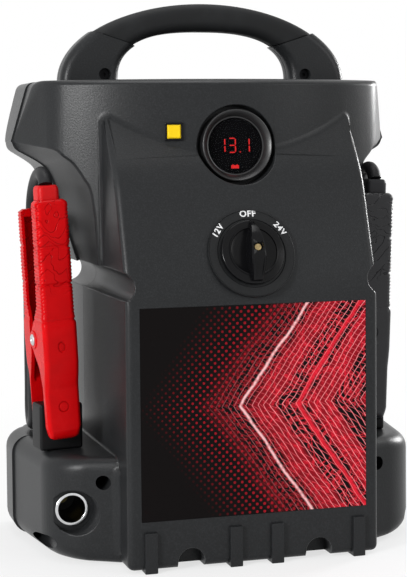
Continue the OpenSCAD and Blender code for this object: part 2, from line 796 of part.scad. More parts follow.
// ---- batteries ----
tray_y = face_y + wall + 2;
module battery_tray() {
    d = 2 * battery_d + 2 + 2 * tray_t;
    color(steel) translate([0, tray_y, tray_z]) difference() {
        translate([-battery_w / 2 - tray_t - 0.5, 0, 0])
            cube([battery_w + 2 * tray_t + 1, d, 26]);
        translate([-battery_w / 2 - 0.5, tray_t, tray_t]) cube([battery_w + 1, d - 2 * tray_t, 40]);
    }
}
case_h = battery_h - 22;
lid_h = 16;
case_wall = 3;
cell_h = 65;
battery_y = [tray_y + tray_t + 0.2, tray_y + tray_t + battery_d + 1.2];
post_z = tray_z + tray_t + case_h + lid_h;
post_x = battery_w / 2 - 18;
module battery_at(i) {
    translate([0, battery_y[i] + battery_d / 2, tray_z + tray_t]) children();
}
module battery_case(i) {
    color([0.1, 0.1, 0.11]) battery_at(i) difference() {
        translate([-battery_w / 2, -battery_d / 2, 0]) cube([battery_w, battery_d, case_h]);
        translate([-battery_w / 2 + case_wall, -battery_d / 2 + case_wall, case_wall])
            cube([battery_w - 2 * case_wall, battery_d - 2 * case_wall, case_h]);
    }
}
module battery_lid(i) {
    color([0.1, 0.1, 0.11]) battery_at(i) translate([-battery_w / 2 + 1, -battery_d / 2 + 1, case_h])
        cube([battery_w - 2, battery_d - 2, lid_h]);
}
// Six blocks of plates to a battery
module battery_cells(i) {
    pitch = (battery_w - 2 * case_wall) / 6;
    color([0.35, 0.35, 0.37]) battery_at(i) for (k = [0:5])
        translate([-battery_w / 2 + case_wall + pitch * k + 1, -battery_d / 2 + case_wall + 1, case_wall])
            cube([pitch - 2, battery_d - 2 * case_wall - 2, cell_h]);
}
module front_battery_case() { battery_case(0); }
module front_battery_lid() { battery_lid(0); }
module front_battery_cells() { battery_cells(0); }
module rear_battery_case() { battery_case(1); }
module rear_battery_lid() { battery_lid(1); }
module rear_battery_cells() { battery_cells(1); }
module battery_posts() {
    color(brass) for (y = battery_y, s = [-1, 1])
        translate([s * post_x - 7, y + battery_d / 2 - 7, post_z]) cube([14, 14, 6]);
}

// ---- swept tubes ----
function way(p, i) = unit(p[min(i + 1, len(p) - 1)] - p[max(i - 1, 0)]);
function ring(p, i, r, sides) =
    let (t = way(p, i), u = unit(cross(t, abs(t[0]) > 0.9 ? [0, 0, 1] : [1, 0, 0])), w = cross(t, u))
    [for (k = [0:sides - 1]) let (a = 360 * k / sides) p[i] + r * (cos(a) * u + sin(a) * w)];
module tube(p, r, sides) {
    n = len(p);
    polyhedron(
        points = [for (i = [0:n - 1]) each ring(p, i, r, sides)],
        faces = concat(
            [[for (k = [0:sides - 1]) k]],
            [[for (k = [sides - 1:-1:0]) (n - 1) * sides + k]],
            [for (i = [0:n - 2], k = [0:sides - 1])
                let (a = i * sides + k, b = i * sides + (k + 1) % sides)
                    each [[a, a + sides, b + sides], [a, b + sides, b]]]));
}

// Leads from the battery posts up to the studs of the selector switch
lead_r = 4;
module battery_leads() {
    n = [0, -cos(panel_lean), sin(panel_lean)];
    u = [0, sin(panel_lean), cos(panel_lean)];
    middle = [0, face_y + panel_set(selector_z), selector_z] + n * (switch_z - switch_d - 10.3);
    color([0.6, 0.05, 0.05]) for (s = [-1, 1], i = [0, 1]) {
        a = [s * post_x, battery_y[i] + battery_d / 2, post_z + 6.1 + lead_r];
        b = middle + [s * 18, 0, 0] + u * 18 * (i == 0 ? -1 : 1);
        tube([a, a + [-s * 14, 0, 0.5], [(a[0] + b[0]) / 2, max(a[1], b[1] + 16), a[2] + 3],
              [b[0] + s * 6, b[1] + 20, (a[2] + b[2]) / 2 + 6], b - 12 * n, b], lead_r, 8);
    }
}

// ---- clamps ----
// Local frame: the middle of the rest on the foot, x outwards, y backwards, z up
clamp_y = face_y + 83;
module at_red() {
    translate([-red_clamp_x, clamp_y, foot_z]) mirror([1, 0, 0])
        rotate([0, 0, -red_clamp_yaw]) children();
}
module at_black() {
    translate([black_clamp_x, clamp_y, foot_z]) rotate([0, 0, -black_clamp_yaw]) children();
}
module at_red_clamp() { at_red() rotate([0, red_clamp_lean, 0]) children(); }
module at_black_clamp() { at_black() rotate([0, black_clamp_lean, 0]) children(); }

jaw_z = 10;
ear_t = lever_wall;
ear_gap = 0.3;
module lever_bar(points, w) {
    rotate([90, 0, 90]) linear_extrude(w, center = true) polygon(points);
}
// The front lever: a channel with its back open, and two ears for the pin
module front_lever() {
    d = clamp_half_d;
    t = lever_wall;
    h = clamp_h;
    outer = [[-d, h], [-d, pivot_h + 18], [-d - 1.5, pivot_h + 17], [-d - 1.5, pivot_h - 22],
             [-d + 3, pivot_h - 30], [-d + 2, jaw_z + 6], [-d + 5, jaw_z], [-rest_t / 2 - 4, jaw_z],
             [-rest_t / 2 - 4, pivot_h - 36], [-4, pivot_h - 12], [5, pivot_h - 6], [5, pivot_h + 6],
             [-3, pivot_h + 15], [-d + 15, pivot_h + 26], [-d + 13, h - 2], [-d + 11, h]];
    inner = [[-d + t, h - t], [-d + t, pivot_h + 16], [-d + t - 1.5, pivot_h - 20],
             [-d + t + 3, pivot_h - 30], [-d + t + 2.5, jaw_z + 6], [20, jaw_z + 6], [20, h - t]];
    difference() {
        lever_bar(outer, clamp_w);
        difference() {
            lever_bar(inner, clamp_w - 2 * t);
            translate([-20, -40, 0]) cube([40, 60, pivot_h - 36]);
        }
        translate([0, 0, pivot_h]) rotate([0, 90, 0]) cylinder(r = pin_r + 0.02, h = 60, center = true);
    }
}
// The rear lever: the same channel turned round, with its ears inside the front ones
module rear_lever() {
    d = clamp_half_d;
    t = lever_wall;
    h = clamp_h - 8;
    back = [[d, h], [d, pivot_h + 18], [d + 1, pivot_h + 16], [d, pivot_h - 20], [d - 7, pivot_h - 34],
            [d - 8, jaw_z + 4], [rest_t / 2 + 4.5, jaw_z + 2], [rest_t / 2 + 4.5, pivot_h - 36],
            [8, pivot_h - 12], [8, pivot_h + 14], [d - 11, pivot_h + 26], [d - 10, h]];
    inner = [[d - t, h - t], [d - t, pivot_h - 20], [d - 10, pivot_h - 36], [-20, pivot_h - 36],
             [-20, h - t]];
    ear = [[-5, pivot_h - 5], [-3, pivot_h - 8], [12, pivot_h - 12], [12, pivot_h + 14], [-1, pivot_h + 9],
           [-5, pivot_h + 5]];
    ear_w = clamp_w - 2 * t - 2 * ear_gap;
    difference() {
        union() {
            difference() {
                lever_bar(back, clamp_w);
                lever_bar(inner, ear_w - 2 * t);
            }
            difference() {
                lever_bar(ear, ear_w);
                translate([0, 0, pivot_h]) cube([ear_w - 2 * ear_t, 60, 60], center = true);
            }
        }
        translate([0, 0, pivot_h]) rotate([0, 90, 0]) cylinder(r = pin_r + run_gap, h = 60, center = true);
    }
}
module pivot_pin() {
    translate([0, 0, pivot_h]) rotate([0, 90, 0]) {
        cylinder(r = pin_r, h = clamp_w + 1, center = true);
        for (s = [-1, 1]) translate([0, 0, s * (clamp_w / 2 + 0.9)])
            cylinder(r = pin_r + 1.5, h = 1.6, center = true);
    }
}
// A torsion spring round the pin, with a leg up inside each lever
module spring() {
    wire = 1;
    coil_r = pin_r + wire + 0.2;
    steps = 12;
    a0 = 200;
    sweep = 4 * 360 + 540 - 2 * a0;
    n = 52;
    coil = [for (i = [0:n]) let (a = a0 + sweep * i / n)
        [10.4 * (i / n - 0.5), coil_r * cos(a), coil_r * sin(a) + pivot_h]];
    leg = 22;
    tube(concat([coil[0] + leg * [0, sin(a0), -cos(a0)]], coil, [coil[n] + leg * [0, -sin(a0), -cos(a0)]]),
         wire, 8);
}
module front_jaw() {
    y = -rest_t / 2;
    translate([-clamp_w / 2 + 4, y - 4, jaw_z + 2]) difference() {
        cube([clamp_w - 8, 3.7, 22]);
        for (i = [0:5]) translate([-1, 3.7, 2 + 3.6 * i]) rotate([45, 0, 0]) cube([clamp_w, 1.2, 1.2]);
    }
}
module rear_jaw() { mirror([0, 1, 0]) translate([0, -0.5, 0]) front_jaw(); }
module sleeve() {
    translate([-sleeve_d / 2, sleeve_y - sleeve_d / 2, clamp_h]) cube([sleeve_d, sleeve_d, sleeve_h]);
}
module rest(w) {
    difference() {
        translate([-w / 2, -rest_t / 2, 0]) cube([w, rest_t, rest_h]);
        translate([-w / 2 + 3, -rest_t / 2 + 3, -1]) cube([w - 6, rest_t - 6, rest_h - 2]);
    }
}

module red_rest() { color(black) at_red() rest(red_rest_w); }
module red_front_lever() { color(red) at_red_clamp() front_lever(); }
module red_rear_lever() { color(red) at_red_clamp() rear_lever(); }
module red_pivot_pin() { color(steel) at_red_clamp() pivot_pin(); }
module red_spring() { color(steel) at_red_clamp() spring(); }
module red_front_jaw() { color(steel) at_red_clamp() front_jaw(); }
module red_rear_jaw() { color(steel) at_red_clamp() rear_jaw(); }
module red_sleeve() { color(red) at_red_clamp() sleeve(); }
module black_rest() { color(black) at_black() rest(black_rest_w); }
module black_front_lever() { color(black) at_black_clamp() front_lever(); }
module black_rear_lever() { color(black) at_black_clamp() rear_lever(); }
module black_pivot_pin() { color(steel) at_black_clamp() pivot_pin(); }
module black_spring() { color(steel) at_black_clamp() spring(); }
module black_front_jaw() { color(steel) at_black_clamp() front_jaw(); }
module black_rear_jaw() { color(steel) at_black_clamp() rear_jaw(); }
module black_sleeve() { color(black) at_black_clamp() sleeve(); }

// ---- clamp cables ----
// Each cable rises from its gland, lies in a hank behind its clamp and arches into the sleeve.
// [lane, depth behind the parting line, height above the foot]: lane 0 is next to the waist wall.
hank = [
    [0, 0, 14], [0, 0, 40], [0, 0, 68], [0, 0, 96], [0, 0, 118],
    [0.2, 7, 137], [0.5, 25, 145], [0.8, 43, 137], [1, 50, 118],
    [1, 50, 90], [1, 50, 62], [1, 50, 34],
    [1.2, 43, 14], [1.5, 25, 6], [1.8, 7, 14], [2, 0, 34],
    [2, -1, 62], [2, -1, 90], [2, -1, 118], [2, -1, 141],
    [2.2, 6, 160], [2.5, 24, 168], [2.8, 42, 160], [3, 49, 141],
    [3, 49, 107], [3, 49, 70], [3, 49, 34],
    [3.2, 42, 14], [3.5, 24, 6], [3.8, 4, 14], [4, -4, 34],
    [4, -6, 67], [4, -7, 101], [4, -7, 135], [4, -7, 167], [4, -9, 188]];
// [share of the way from the last lane to the sleeve, depth, rise above the sleeve's top]
arch_over = [[0.1, -17, -6], [0.4, -32, 4], [0.7, -46, 8], [0.9, -58, 8], [1, -65, 5]];
red_lane = [red_clamp_x - 17, 6.5];
black_lane = [black_clamp_x - 7.9, 5.6];
sleeve_h = 11;
sleeve_d = 17;
sleeve_y = -clamp_half_d + lever_wall + 2 + sleeve_d / 2;
// Where a cable enters its sleeve, for a clamp at x with its yaw and lean
function sleeve_mouth(side, x, yaw, lean) =
    let (h = clamp_h + sleeve_h + seat_gap, out = h * sin(lean))
    [side * (x + out * cos(yaw) + sleeve_y * sin(yaw)),
     clamp_y - out * sin(yaw) + sleeve_y * cos(yaw), foot_z + h * cos(lean)];
red_end = sleeve_mouth(-1, red_clamp_x, red_clamp_yaw, red_clamp_lean);
black_end = sleeve_mouth(1, black_clamp_x, black_clamp_yaw, black_clamp_lean);
function route(side, lane, end) = concat(
    [for (q = hank) [side * (lane[0] + lane[1] * q[0]), part_y + q[1], foot_z + q[2]]],
    [for (q = arch_over) [side * (lane[0] + lane[1] * 4) * (1 - q[0]) + end[0] * q[0],
                          part_y + q[1], end[2] + q[2]]],
    [end + [0, 0, 2], end]);
red_route = route(-1, red_lane, red_end);
black_route = route(1, black_lane, black_end);

module gland_at(x) { translate([x, part_y, foot_z]) children(); }
module gland_holes() {
    for (x = [-red_lane[0], black_lane[0]]) gland_at(x)
        translate([0, 0, -20]) cylinder(r = cable_d / 2 + 1.5, h = 24);
}
module gland() {
    rotate_extrude() polygon([
        [0, -12], [cable_d / 2 + 1.4, -12], [cable_d / 2 + 1.4, 0.02], [cable_d / 2 + 3, 0.02],
        [cable_d / 2 + 3, 4], [cable_d / 2 + 0.5, gland_h], [0, gland_h]]);
}
module red_gland() { color(black) gland_at(-red_lane[0]) gland(); }
module black_gland() { color(black) gland_at(black_lane[0]) gland(); }
module red_cable() { color(black) tube(red_route, cable_d / 2, 10); }
module black_cable() { color(black) tube(black_route, cable_d / 2, 10); }

front_shell();
rear_shell();
shell_screws();
label_plate();
handle_front();
handle_rear();
handle_grip();
gauge_bezel();
gauge_lens();
gauge_display();
gauge_can();
gauge_clamp_nut();
button_frame();
test_button();
button_switch();
dial_plate();
selector_knob();
knob_screw();
selector_shaft();
selector_switch();
selector_nut();
socket_barrel();
socket_insulator();
socket_contact();
socket_nut();
battery_tray();
front_battery_case();
front_battery_lid();
front_battery_cells();
rear_battery_case();
rear_battery_lid();
rear_battery_cells();
battery_posts();
battery_leads();
red_rest();
red_front_lever();
red_rear_lever();
red_pivot_pin();
red_spring();
red_front_jaw();
red_rear_jaw();
red_sleeve();
red_gland();
red_cable();
black_rest();
black_front_lever();
black_rear_lever();
black_pivot_pin();
black_spring();
black_front_jaw();
black_rear_jaw();
black_sleeve();
black_gland();
black_cable();
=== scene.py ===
"""Builds the looks of a 12/24 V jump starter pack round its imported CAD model."""

from math import asin, cos, degrees, hypot, pi, radians, sin, tan

import bmesh
import bpy
from bpy.props import FloatProperty, FloatVectorProperty, IntProperty, PointerProperty, StringProperty
from mathutils import Matrix, Vector


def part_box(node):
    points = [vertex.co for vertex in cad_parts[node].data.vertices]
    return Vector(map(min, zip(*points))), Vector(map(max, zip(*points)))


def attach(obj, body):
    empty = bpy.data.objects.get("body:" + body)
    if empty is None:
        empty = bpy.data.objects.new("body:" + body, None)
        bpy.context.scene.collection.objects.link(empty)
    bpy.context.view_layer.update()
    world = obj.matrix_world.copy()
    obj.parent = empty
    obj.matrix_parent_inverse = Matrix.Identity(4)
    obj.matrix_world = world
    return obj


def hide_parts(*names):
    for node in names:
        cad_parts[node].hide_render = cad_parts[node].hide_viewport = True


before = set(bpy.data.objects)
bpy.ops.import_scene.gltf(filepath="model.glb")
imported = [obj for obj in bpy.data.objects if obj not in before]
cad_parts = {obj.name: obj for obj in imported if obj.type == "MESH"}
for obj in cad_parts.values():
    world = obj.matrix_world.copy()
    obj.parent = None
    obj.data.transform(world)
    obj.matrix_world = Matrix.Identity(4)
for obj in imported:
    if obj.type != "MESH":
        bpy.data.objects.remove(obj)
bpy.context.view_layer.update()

bl_info = {
    "name": "Jump Starter Pack",
    "version": (1, 0, 0),
    "blender": (4, 5, 0),
    "location": "View3D > Sidebar > Jump Starter",
    "description": "Models and finishes a portable jump starter pack",
    "category": "Add Mesh",
}

MM = 0.001

# ---- places that the CAD gives, in millimetres ----
FACE_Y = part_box("label_plate")[0].y / MM
PART_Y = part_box("front_shell")[1].y / MM
BACK_Y = PART_Y + 61
BODY_H = 371
FLOOR_GAP = 2
WALL = 3
FOOT_Z = 83
CLAMP_Y = FACE_Y + 83


# ---------------------------------------------------------------- settings
class CaseSettings(bpy.types.PropertyGroup):
    """Sizes and colours of the moulded case."""

    rim_radius: FloatProperty(name="Rim radius", description="Rounding of the case's outer edges", default=5 * MM, unit="LENGTH")
    crease_radius: FloatProperty(name="Crease radius", description="Rounding of the inner corners and small edges", default=1 * MM, unit="LENGTH")
    rib_out: FloatProperty(name="Rib height", description="How far the skid ribs stand out", default=3 * MM, unit="LENGTH")
    plastic: FloatVectorProperty(name="Case plastic", description="Colour of the textured case plastic", subtype="COLOR", default=(0.0125, 0.0132, 0.014))
    grip: FloatVectorProperty(name="Grip", description="Colour of the soft handle grip", subtype="COLOR", default=(0.008, 0.0085, 0.009))
    rubber: FloatVectorProperty(name="Cable rubber", description="Colour of the cable jackets", subtype="COLOR", default=(0.012, 0.012, 0.013))


class PanelSettings(bpy.types.PropertyGroup):
    """Sizes and colours of the controls and the label."""

    letter_height: FloatProperty(name="Letter height", description="Height of the dial lettering", default=6.8 * MM, unit="LENGTH")
    digit_height: FloatProperty(name="Digit height", description="Height of the gauge digits", default=11 * MM, unit="LENGTH")
    reading: StringProperty(name="Reading", description="Number that the gauge shows", default="13.1")
    glow: FloatProperty(name="Glow", description="Strength of the lit digits", default=1.3)
    button: FloatVectorProperty(name="Button", description="Colour of the test button", subtype="COLOR", default=(0.75, 0.5, 0.006))
    lamp: FloatVectorProperty(name="Lamp", description="Colour of the lit digits", subtype="COLOR", default=(1.0, 0.02, 0.02))
    label_red: FloatVectorProperty(name="Label red", description="Bright colour of the label's pattern", subtype="COLOR", default=(0.78, 0.015, 0.035))


class ClampSettings(bpy.types.PropertyGroup):
    """Sizes and colours of the clamps."""

    grip_ribs: IntProperty(name="Grip ribs", description="Small ribs down each side of a clamp handle", default=30)
    red: FloatVectorProperty(name="Red cover", description="Colour of the red clamp", subtype="COLOR", default=(0.52, 0.0015, 0.003))
    black: FloatVectorProperty(name="Black cover", description="Colour of the black clamp", subtype="COLOR", default=(0.022, 0.022, 0.024))
    cable_diameter: FloatProperty(name="Cable diameter", description="Outer diameter of the clamp cables", default=11 * MM, unit="LENGTH")


# ---------------------------------------------------------------- finishes
class Value:
    """A node's output that takes part in Python sums."""

    def __init__(self, finish, socket):
        self.finish = finish
        self.socket = socket

    def maths(self, operation, *values, clamp=False):
        return self.finish.add("ShaderNodeMath", {"operation": operation, "use_clamp": clamp}, list(values))

    def __add__(self, other):
        return self.maths("ADD", self, other)

    def __sub__(self, other):
        return self.maths("SUBTRACT", self, other)

    def __rsub__(self, other):
        return self.maths("SUBTRACT", other, self)

    def __mul__(self, other):
        return self.maths("MULTIPLY", self, other)

    def __truediv__(self, other):
        return self.maths("DIVIDE", self, other)

    def __pow__(self, other):
        return self.maths("POWER", self, other)

    def __abs__(self):
        return self.maths("ABSOLUTE", self)

    def over(self, other):
        return self.maths("GREATER_THAN", self, other)

    def wave(self):
        return self.maths("SINE", self)

    def ramp(self, low, high):
        """0 below low and 1 above high, with a soft way between."""
        return self.finish.add("ShaderNodeMapRange", {"interpolation_type": "SMOOTHSTEP"}, {"Value": self, "From Min": low, "From Max": high})

    __radd__ = __add__
    __rmul__ = __mul__


class Finish:
    """One procedural material, or the world's shading."""

    def __init__(self, name, block=None):
        self.material = block or bpy.data.materials.new(name)
        self.material.use_nodes = True
        self.nodes = self.material.node_tree.nodes
        self.links = self.material.node_tree.links
        self.nodes.clear()
        self.place = self.add("ShaderNodeTexCoord", {}, {}, "Object")

    def add(self, kind, settings, values, output=0):
        """A node with its settings made first, then the values or links of its inputs."""
        node = self.nodes.new(kind)
        for key, setting in settings.items():
            if key == "stops":
                for stop, (position, colour) in zip([node.color_ramp.elements[0], node.color_ramp.elements[1]] + [node.color_ramp.elements.new(0.5) for _ in setting[2:]], setting):
                    stop.position = position
                    stop.color = (*colour, 1)
            else:
                setattr(node, key, setting)
        for key, value in (values.items() if isinstance(values, dict) else enumerate(values)):
            if isinstance(value, Value):
                self.links.new(value.socket, node.inputs[key])
            elif value is not None:
                slot = node.inputs[key]
                slot.default_value = (*value, 1) if slot.type == "RGBA" and len(value) == 3 else value
        return None if output is None else Value(self, node.outputs[output])

    def noise(self, scale, detail=3, rough=0.5, place=None, **more):
        return self.add("ShaderNodeTexNoise", {}, {"Vector": place or self.place, "Scale": scale, "Detail": detail, "Roughness": rough, **more})

    def axes(self, place=None):
        node = self.add("ShaderNodeSeparateXYZ", {}, [place or self.place]).socket.node
        return [Value(self, socket) for socket in node.outputs]

    def vector(self, x, y, z):
        return self.add("ShaderNodeCombineXYZ", {}, [x, y, z])

    def mix(self, share, a, b):
        """A colour that goes from a to b as share goes from 0 to 1."""
        return self.add("ShaderNodeMix", {"data_type": "RGBA"}, {0: share, 6: a, 7: b}, 2)

    def bump(self, height, strength, depth, under=None):
        return self.add("ShaderNodeBump", {}, {"Height": height, "Strength": strength, "Distance": depth * MM, **({"Normal": under} if under else {})})

    def seen(self):
        """1 for a ray that comes from the camera, a mirror or a window, and 0 for one that only lights."""
        node = self.nodes.new("ShaderNodeLightPath")
        camera, glossy, through = (Value(self, node.outputs[name]) for name in ("Is Camera Ray", "Is Glossy Ray", "Is Transmission Ray"))
        return camera.maths("ADD", camera + glossy, through, clamp=True)

    def surface(self, **inputs):
        """Ends the material in a Principled shader; names are its sockets, with _ for a space."""
        values = {key.replace("_", " "): value for key, value in inputs.items()}
        shader = self.add("ShaderNodeBsdfPrincipled", {}, values)
        self.add("ShaderNodeOutputMaterial", {}, [shader], None)
        return self.material


def shade(colour, share):
    return tuple(channel * share for channel in colour)


def grained_plastic(name, colour, grain=0.42, rough=0.34, size=820, sheen=0.2):
    """Spark-eroded moulded plastic with a fine even grain."""
    f = Finish(name)
    fine = f.noise(size, 2, 0.6)
    broad = f.noise(14, 3)
    base = f.mix(broad.ramp(0.3, 0.7), shade(colour, 0.93), shade(colour, 1.07))
    base = f.mix(fine.ramp(0.42, 0.72) * 0.55, base, shade(colour, 1.9))
    return f.surface(Base_Color=base, Roughness=rough - 0.06 + fine * 0.14, Normal=f.bump(fine, grain, 0.25), Specular_IOR_Level=sheen)


def smooth_plastic(name, colour, rough=0.25, sheen=0.2):
    """Polished moulding with faint flow marks and fine scratches."""
    f = Finish(name)
    flow = f.noise(38, 4)
    scratch = f.noise(260, 2, 0.5, f.add("ShaderNodeMapping", {}, {"Vector": f.place, "Scale": (1, 0.08, 1)}))
    base = f.mix(flow.ramp(0.3, 0.7), shade(colour, 0.9), shade(colour, 1.08))
    return f.surface(Base_Color=base, Roughness=rough + flow * 0.08 + scratch.ramp(0.6, 0.75) * 0.1, Normal=f.bump(flow, 0.05, 0.3), Specular_IOR_Level=sheen)


def soft_rubber(name, colour, rough=0.62):
    """Matt rubber with a dusty bloom."""
    f = Finish(name)
    fine = f.noise(1500, 2)
    bloom = f.noise(30, 4, 0.6)
    base = f.mix(bloom.ramp(0.45, 0.75), colour, shade(colour, 1.6))
    return f.surface(Base_Color=base, Roughness=rough + fine * 0.14 - 0.07, Normal=f.bump(fine, 0.25, 0.12), Specular_IOR_Level=0.2)


def clamp_cover(name, colour, rough=0.2, sheen=0.1):
    """Glossy moulded cover whose upper half is embossed with a wavy leaf pattern, with painted shade in the pattern's
    grooves.
    """
    f = Finish(name)
    wander = f.noise(42, 2, 0.5)
    flow = f.noise(60, 3)
    x, y, z = f.axes()
    lines = (z * 330 + wander * 26 + abs((x * 130 + wander * 9).wave()) * 2.6).wave()
    veins = abs(lines).ramp(0.0, 0.24)
    upper = z.ramp(0.205, 0.212)
    height = 1 - (1 - veins) * upper
    # painted shade: the grooves of the embossed pattern are painted darker
    base = f.mix((1 - veins) * upper * 0.55, f.mix(flow.ramp(0.3, 0.7), shade(colour, 0.93), shade(colour, 1.06)), shade(colour, 0.5))
    return f.surface(Base_Color=base, Roughness=rough + flow * 0.12, Normal=f.bump(height, 0.8, 0.6, f.bump(flow, 0.08, 0.4)), Specular_IOR_Level=sheen)


def metal(name, colour, rough=0.32, brushed=0.3, painted_shade_from=None):
    """Plated or bare metal with drawn lines and dull spots. Past a given Y place in millimetres it is painted near
    black, as painted shade down inside a bore.
    """
    f = Finish(name)
    drawn = f.noise(900, 3, 0.5, f.add("ShaderNodeMapping", {}, {"Vector": f.place, "Scale": (1, 1, 0.06)}))
    dull = f.noise(55, 4)
    base = f.mix(dull.ramp(0.45, 0.8), colour, shade(colour, 0.7))
    if painted_shade_from is not None:
        # painted shade: behind that Y place the metal is painted near black
        base = f.mix(f.axes()[1].ramp(painted_shade_from * MM, (painted_shade_from + 4) * MM), base, (0.012, 0.012, 0.014))
    return f.surface(Base_Color=base, Metallic=1.0, Roughness=rough + drawn * 0.12 + dull.ramp(0.5, 0.9) * 0.12, Normal=f.bump(drawn, brushed * 0.2, 0.1))


def lamp(name, colour, strength):
    """A lit segment, a little uneven."""
    f = Finish(name)
    core = f.noise(700, 2)
    return f.surface(Base_Color=shade(colour, 0.4), Roughness=0.4, Emission_Color=f.mix(core, shade(colour, 0.75), colour), Emission_Strength=strength)


def smoked_glass(name):
    """A dark clear window."""
    f = Finish(name)
    haze = f.noise(90, 2)
    return f.surface(Base_Color=f.mix(haze, (0.004, 0.004, 0.005), (0.008, 0.008, 0.009)), Roughness=0.1 + haze * 0.05, Alpha=0.3, Specular_IOR_Level=0.04)


def label_print(name, red):
    """Printed film: black that turns red in sweeping chevrons, fine rules and a field of dots."""
    f = Finish(name)
    x, y, z = f.axes()
    u = x / 0.179 + 0.5
    v = z / 0.160 - 0.24375
    drift = f.noise(13, 4, 0.6)
    fibre = f.noise(36, 6, 0.72, Distortion=1.6)
    middle = abs(v - 0.52)
    chevron = u - middle * 0.62 + drift * 0.07
    bands = (chevron * 25).wave().ramp(-0.15, 0.5)
    rules = (chevron * 232).wave().ramp(0.86, 0.98)
    crossed = ((u + v * 1.5 + drift * 0.16) * 150).wave().ramp(0.92, 0.99)
    rise = chevron.ramp(0.26, 0.66)
    strands = abs(fibre - 0.5).ramp(0.0, 0.035)
    dots = halftone(f, u, v)
    deep = f.mix(rise * bands, (0.003, 0.002, 0.002), shade(red, 0.34))
    glow = f.mix(rise * (1 - strands) * 0.75, deep, red)
    ruled = f.mix(rise * rules * 0.8, glow, (1.0, 0.3, 0.32))
    crossed_over = f.mix(rise * crossed * 0.55, ruled, (0.95, 0.12, 0.15))
    bright = f.mix(abs(chevron - 0.47).ramp(0.012, 0.0) * 0.9, crossed_over, (1.0, 0.55, 0.55))
    bright = f.mix(abs(chevron - 0.72).ramp(0.02, 0.0) * 0.8, bright, red)
    final = f.mix(dots * (1 - rise) * chevron.ramp(0.0, 0.34) * 0.8, bright, shade(red, 0.5))
    return f.surface(Base_Color=final, Roughness=0.24 + drift * 0.08, Specular_IOR_Level=0.07, Normal=f.bump(f.noise(700, 2), 0.04, 0.05))


def halftone(f, u, v):
    """Halftone dots that grow along the label."""
    across = (u * 190).wave() * (v * 170).wave()
    return (across - 0.62 + u * 0.5).ramp(0.0, 0.12)


# ---------------------------------------------------------------- modelling by hand
def alone(piece):
    bpy.ops.object.select_all(action="DESELECT")
    piece.select_set(True)
    bpy.context.view_layer.objects.active = piece


def loft(name, rings):
    """A closed solid through rings of points in millimetres, all with as many points."""
    bpy.ops.object.select_all(action="DESELECT")
    bpy.ops.mesh.primitive_circle_add(vertices=len(rings[0]), fill_type="NGON")
    piece = bpy.context.active_object
    piece.name = name
    bpy.ops.object.mode_set(mode="EDIT")
    for i, ring in enumerate(rings):
        if i:
            bpy.ops.mesh.extrude_region_move()
        mesh = bmesh.from_edit_mesh(piece.data)
        face = next(face for face in mesh.faces if face.select)
        for loop, point in zip(face.loops, ring):
            loop.vert.co = Vector(point) * MM
        bmesh.update_edit_mesh(piece.data)
    bpy.ops.mesh.select_all(action="SELECT")
    bpy.ops.mesh.normals_make_consistent(inside=False)
    bpy.ops.object.mode_set(mode="OBJECT")
    return piece


def upright(name, plan, z0, z1):
    """A prism that stands on plan, which is a list of (x, depth behind the panel face)."""
    return loft(name, [[(x, FACE_Y + d, z) for x, d in plan] for z in (z0, z1)])


def along_y(name, front, y0, y1):
    return loft(name, [[(x, y, z) for x, z in front] for y in (y0, y1)])


def along_x(name, side, x0, x1):
    """A prism across the body from a list of (depth behind the panel face, z)."""
    return loft(name, [[(x, FACE_Y + d, z) for d, z in side] for x in (x0, x1)])


def block(name, low, high):
    return along_y(name, [(low[0], low[2]), (high[0], low[2]), (high[0], high[2]), (low[0], high[2])], low[1], high[1])


def lathe(name, profile, steps=96):
    """Spins a closed outline of (radius, height) points round the Z axis."""
    bpy.ops.object.select_all(action="DESELECT")
    bpy.ops.mesh.primitive_circle_add(vertices=len(profile), fill_type="NOTHING")
    piece = bpy.context.active_object
    piece.name = name
    for vertex, (r, z) in zip(piece.data.vertices, profile):
        vertex.co = Vector((r, 0, z)) * MM
    bpy.ops.object.mode_set(mode="EDIT")
    bpy.ops.mesh.select_all(action="SELECT")
    bpy.ops.mesh.spin(steps=steps, angle=2 * pi, center=(0, 0, 0), axis=(0, 0, 1))
    bpy.ops.mesh.select_all(action="SELECT")
    bpy.ops.mesh.remove_doubles(threshold=1e-6)
    bpy.ops.mesh.delete_loose(use_verts=True, use_edges=True, use_faces=False)
    bpy.ops.mesh.select_all(action="SELECT")
    bpy.ops.mesh.normals_make_consistent(inside=False)
    bpy.ops.object.mode_set(mode="OBJECT")
    return piece


def drum(name, r, z0, z1, steps=64):
    return lathe(name, [(0, z0), (r, z0), (r, z1), (0, z1)], steps)


def moved(piece, *matrices):
    """Puts a piece in its place, in its mesh."""
    total = Matrix.Identity(4)
    for matrix in matrices:
        total = total @ matrix
    piece.data.transform(total)
    if total.determinant() < 0:
        piece.data.flip_normals()
    return piece


def copied(piece, name, *matrices):
    twin = piece.copy()
    twin.data = piece.data.copy()
    twin.name = name
    bpy.context.collection.objects.link(twin)
    return moved(twin, *matrices)


def shift(x, y, z):
    return Matrix.Translation(Vector((x, y, z)) * MM)


def turn(angle, axis):
    return Matrix.Rotation(radians(angle), 4, axis)


MIRROR_X = Matrix.Diagonal((-1, 1, 1, 1))


def modifier(piece, kind, **settings):
    alone(piece)
    made = piece.modifiers.new(kind.title(), kind)
    for key, setting in settings.items():
        setattr(made, key, setting)
    bpy.ops.object.modifier_apply(modifier=made.name)
    return piece


def shaped(piece, operation, *tools):
    """Joins, cuts or keeps what piece and the tools share, all in one go, and takes the tools away."""
    held = bpy.data.collections.new("tools")
    for tool in tools:
        held.objects.link(tool)
    modifier(piece, "BOOLEAN", operation=operation, operand_type="COLLECTION", collection=held, solver="EXACT")
    for tool in tools:
        bpy.data.meshes.remove(tool.data)
    bpy.data.collections.remove(held)
    return piece


def cut(piece, *tools):
    return shaped(piece, "DIFFERENCE", *tools)


def joined(piece, *tools):
    return shaped(piece, "UNION", *tools)


def shared(piece, *tools):
    return shaped(piece, "INTERSECT", *tools)


